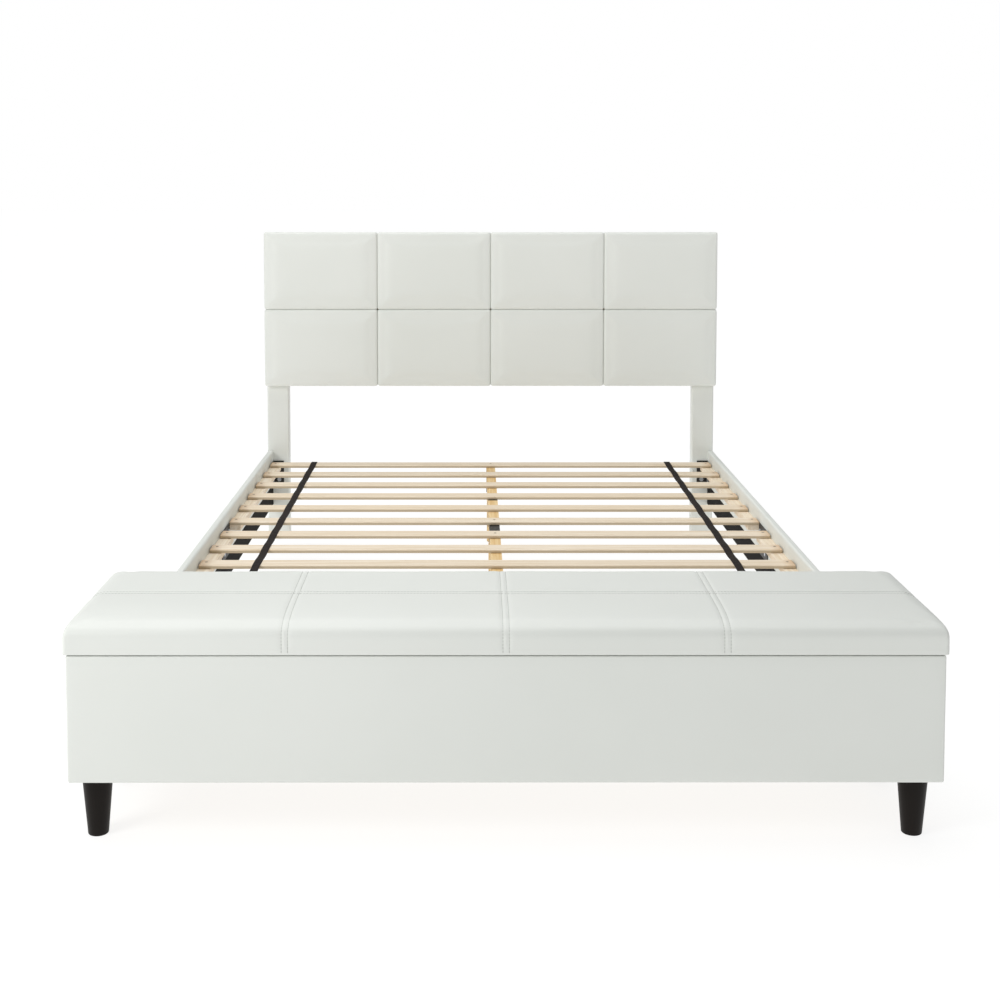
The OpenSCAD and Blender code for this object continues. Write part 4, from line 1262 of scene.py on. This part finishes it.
def make_finishes() -> dict[str, Material]:
    """Makes the finish of every material slot, and of the nodes that differ from their slot.

    Returns:
        The finishes, by the name of their slot or node.
    """
    pine = {"light": "#efd3a0", "dark": "#dcb577", "pore": "#b98a4e"}
    leg_pine = SawnWood("planed pine legs", along=Grain.Z, **pine).make()
    ledger_wood = SawnWood("planed poplar ledgers", along=Grain.Y).make()
    slat_wood = SawnWood(
        "planed poplar slats",
        # painted shade towards the slat ends, beside the rails
        end_shade_mm=(735.0, 767.0),
        end_shade_share=0.6,
        # painted shade on the slat sides below the top face
        face_mm=node_box("slats_head")[1][2],
        side_shade_share=0.85,
    )
    # mottled plating: bright, with a soft gloss
    mottle = {"cell_mm": 6.0, "detail": 4.0, "gloss": (0.24, 0.42)}
    zinc = Skin("zinc-plated steel", "#c9ccd0", "#aeb2b7", metallic=1.0, **mottle)
    # matt felt with stray lighter fibres
    felt = {"cell_mm": 0.9, "detail": 5.0, "twist": 2.5, "depth_mm": 0.15}
    lining = Skin("black non-woven lining", "#100f0f", "#201f1e", roughness=0.95, specular=0.2, **felt)
    # a near mirror with the traces of the grinding wheel in its gloss
    chrome = Skin("chromed rod", "#d6d8da", cell_mm=1.11, gloss=(0.1, 0.2), metallic=1.0)
    # stain and satin lacquer over upright grain
    grain = {"cell_mm": 2.0, "upright_mm": 71.4, "detail": 3.0, "depth_mm": 0.08}
    stained = Skin("black-brown stained wood", "#0f0a07", "#18120d", roughness=0.45, specular=0.16, **grain)
    # injection-moulded and faintly textured
    plastic = Skin("black polypropylene", "#1b1b1b", cell_mm=0.8, depth_mm=0.05, roughness=0.55)
    return {
        "faux_leather": FauxLeather("white faux leather").make(),
        "panel_board": ParticleBoard("bare particle board").make(),
        "slat_wood": slat_wood.make(),
        "beam_pine": SawnWood("planed pine", along=Grain.Y, **pine).make(),
        "dark_lining": lining.make(),
        "webbing": Webbing("black polyester webbing").make(),
        "black_steel": powder_coat("black powder-coated steel"),
        "zinc_steel": zinc.make(),
        "browned_steel": powder_coat("browned screw steel", "#6d5a45", "#86715a", metallic=0.5),
        "strap_staples": powder_coat("black-coated staple wire"),
        "stay_rod_steel": chrome.make(),
        "foot_black": stained.make(),
        "glide_plastic": plastic.make(),
        **{f"ledger_{side}_{end}": ledger_wood for side in ("left", "right") for end in ("head", "foot")},
        **{name: leg_pine for name in ("head_leg_left", "head_leg_right", "centre_legs")},
    }


# ------------------------------------------------------------------ studio


@dataclass(frozen=True)
class Lamp:
    """A square soft lamp. Place, target and side are in metres, its power in watts."""

    name: str
    place: Way
    target: Way
    side: float
    power: float

    def hang(self) -> None:
        """Hangs the lamp and turns it to its target."""
        data = bpy.data.lights.new(self.name, "AREA")
        data.size = self.side
        data.energy = self.power
        lamp = link(bpy.data.objects.new(self.name, data))
        lamp.location = self.place
        lamp.rotation_euler = (Vector(self.target) - Vector(self.place)).to_track_quat("-Z", "Y").to_euler()


@dataclass
class Studio:
    """Plain white studio: floor, a key lamp from the left, a wide one overhead, sky and camera.

    The floor's radius and the camera's reach are in metres.
    """

    floor_finish: Material
    pixels: float = 1000.0
    focal_pixels: float = 1450.15
    centre_x: float = 474.4
    centre_y: float = 276.1
    eye: Way = (-62.8, -3893.9, 1254.2)
    pitch_down: float = 3.70
    yaw: float = 0.07
    camera_reach: float = 200.0
    ambient: str = "#a0a1a2"
    floor_radius: float = 60.0
    floor_sides: int = 96
    lamps: tuple[Lamp, ...] = (
        Lamp("Key", (-3.0, -3.0, 2.3), (-0.4, 0.0, 0.5), side=1.4, power=74.0),
        Lamp("Top", (-0.5, 0.8, 4.5), (0.0, 0.0, 0.0), side=5.0, power=135.0),
    )

    def camera(self) -> None:
        """Makes the camera. A lens of f pixels is 36 f / width mm on a 36 mm sensor."""
        data = bpy.data.cameras.new("Camera")
        data.sensor_width = SENSOR_MM
        data.lens = SENSOR_MM * self.focal_pixels / self.pixels
        data.shift_x = 0.5 - self.centre_x / self.pixels
        data.shift_y = self.centre_y / self.pixels - 0.5
        data.clip_end = self.camera_reach
        camera = link(bpy.data.objects.new("Camera", data))
        camera.location = [v * MM for v in self.eye]
        camera.rotation_euler = (np.radians(90.0 - self.pitch_down), 0.0, np.radians(-self.yaw))
        bpy.context.scene.camera = camera

    def backdrop(self) -> None:
        """Makes the sky: white to the camera, and a softer even light for everything else."""
        world = bpy.data.worlds.new("Studio")
        bpy.context.scene.world = world
        world.use_nodes = True
        tree = world.node_tree
        tree.nodes.clear()
        seen, light = (
            add_node(tree, "ShaderNodeBackground", {"Color": colour, "Strength": 1.0}).outputs[0]
            for colour in (WHITE, to_linear(self.ambient))
        )
        to_camera = add_node(tree, "ShaderNodeLightPath").outputs["Is Camera Ray"]
        both = add_node(tree, "ShaderNodeMixShader", {0: to_camera, 1: light, 2: seen})
        add_node(tree, "ShaderNodeOutputWorld", {"Surface": both.outputs[0]})

    def floor(self) -> None:
        """Lays the floor: a large round sheet, level with the feet."""
        angle = np.linspace(0, 2 * np.pi, self.floor_sides, endpoint=False)
        rim = self.floor_radius / MM * np.stack([np.cos(angle), np.sin(angle), 0 * angle], -1)
        floor = write_mesh("studio_floor", rim, [list(range(self.floor_sides))])
        floor.data.materials.append(self.floor_finish)

    def build(self) -> None:
        """Sets up the studio."""
        bpy.context.scene.view_settings.view_transform = "Standard"
        self.camera()
        self.backdrop()
        self.floor()
        for lamp in self.lamps:
            lamp.hang()


# ------------------------------------------------------------------ the bed


def report(*pieces: Piece) -> None:
    """Logs each new piece's name and size."""
    for piece in pieces:
        LOG.info("piece %s: %d faces", piece.name, len(piece.data.polygons))


def main() -> None:
    """Builds every class in order and reports each piece."""
    logging.basicConfig(level=logging.INFO, format="%(message)s")
    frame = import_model()

    finishes = make_finishes()
    leather = finishes["faux_leather"]
    LOG.info("packed pieces dressed: %d", CarriedPieces(finishes).dress(frame))

    report(*HeadboardPads(leather).build())
    lid = LidCushion(leather)
    cushion = lid.build()
    report(cushion)
    report(LidStitching(Thread("white polyester thread").make(), lid).build(cushion))
    report(ChestUpholstery(leather).build())
    report(*TurnedFeet(finishes["foot_black"]).build())

    Studio(StudioFloor("white studio floor").make()).build()


if __name__ == "__main__":
    main()
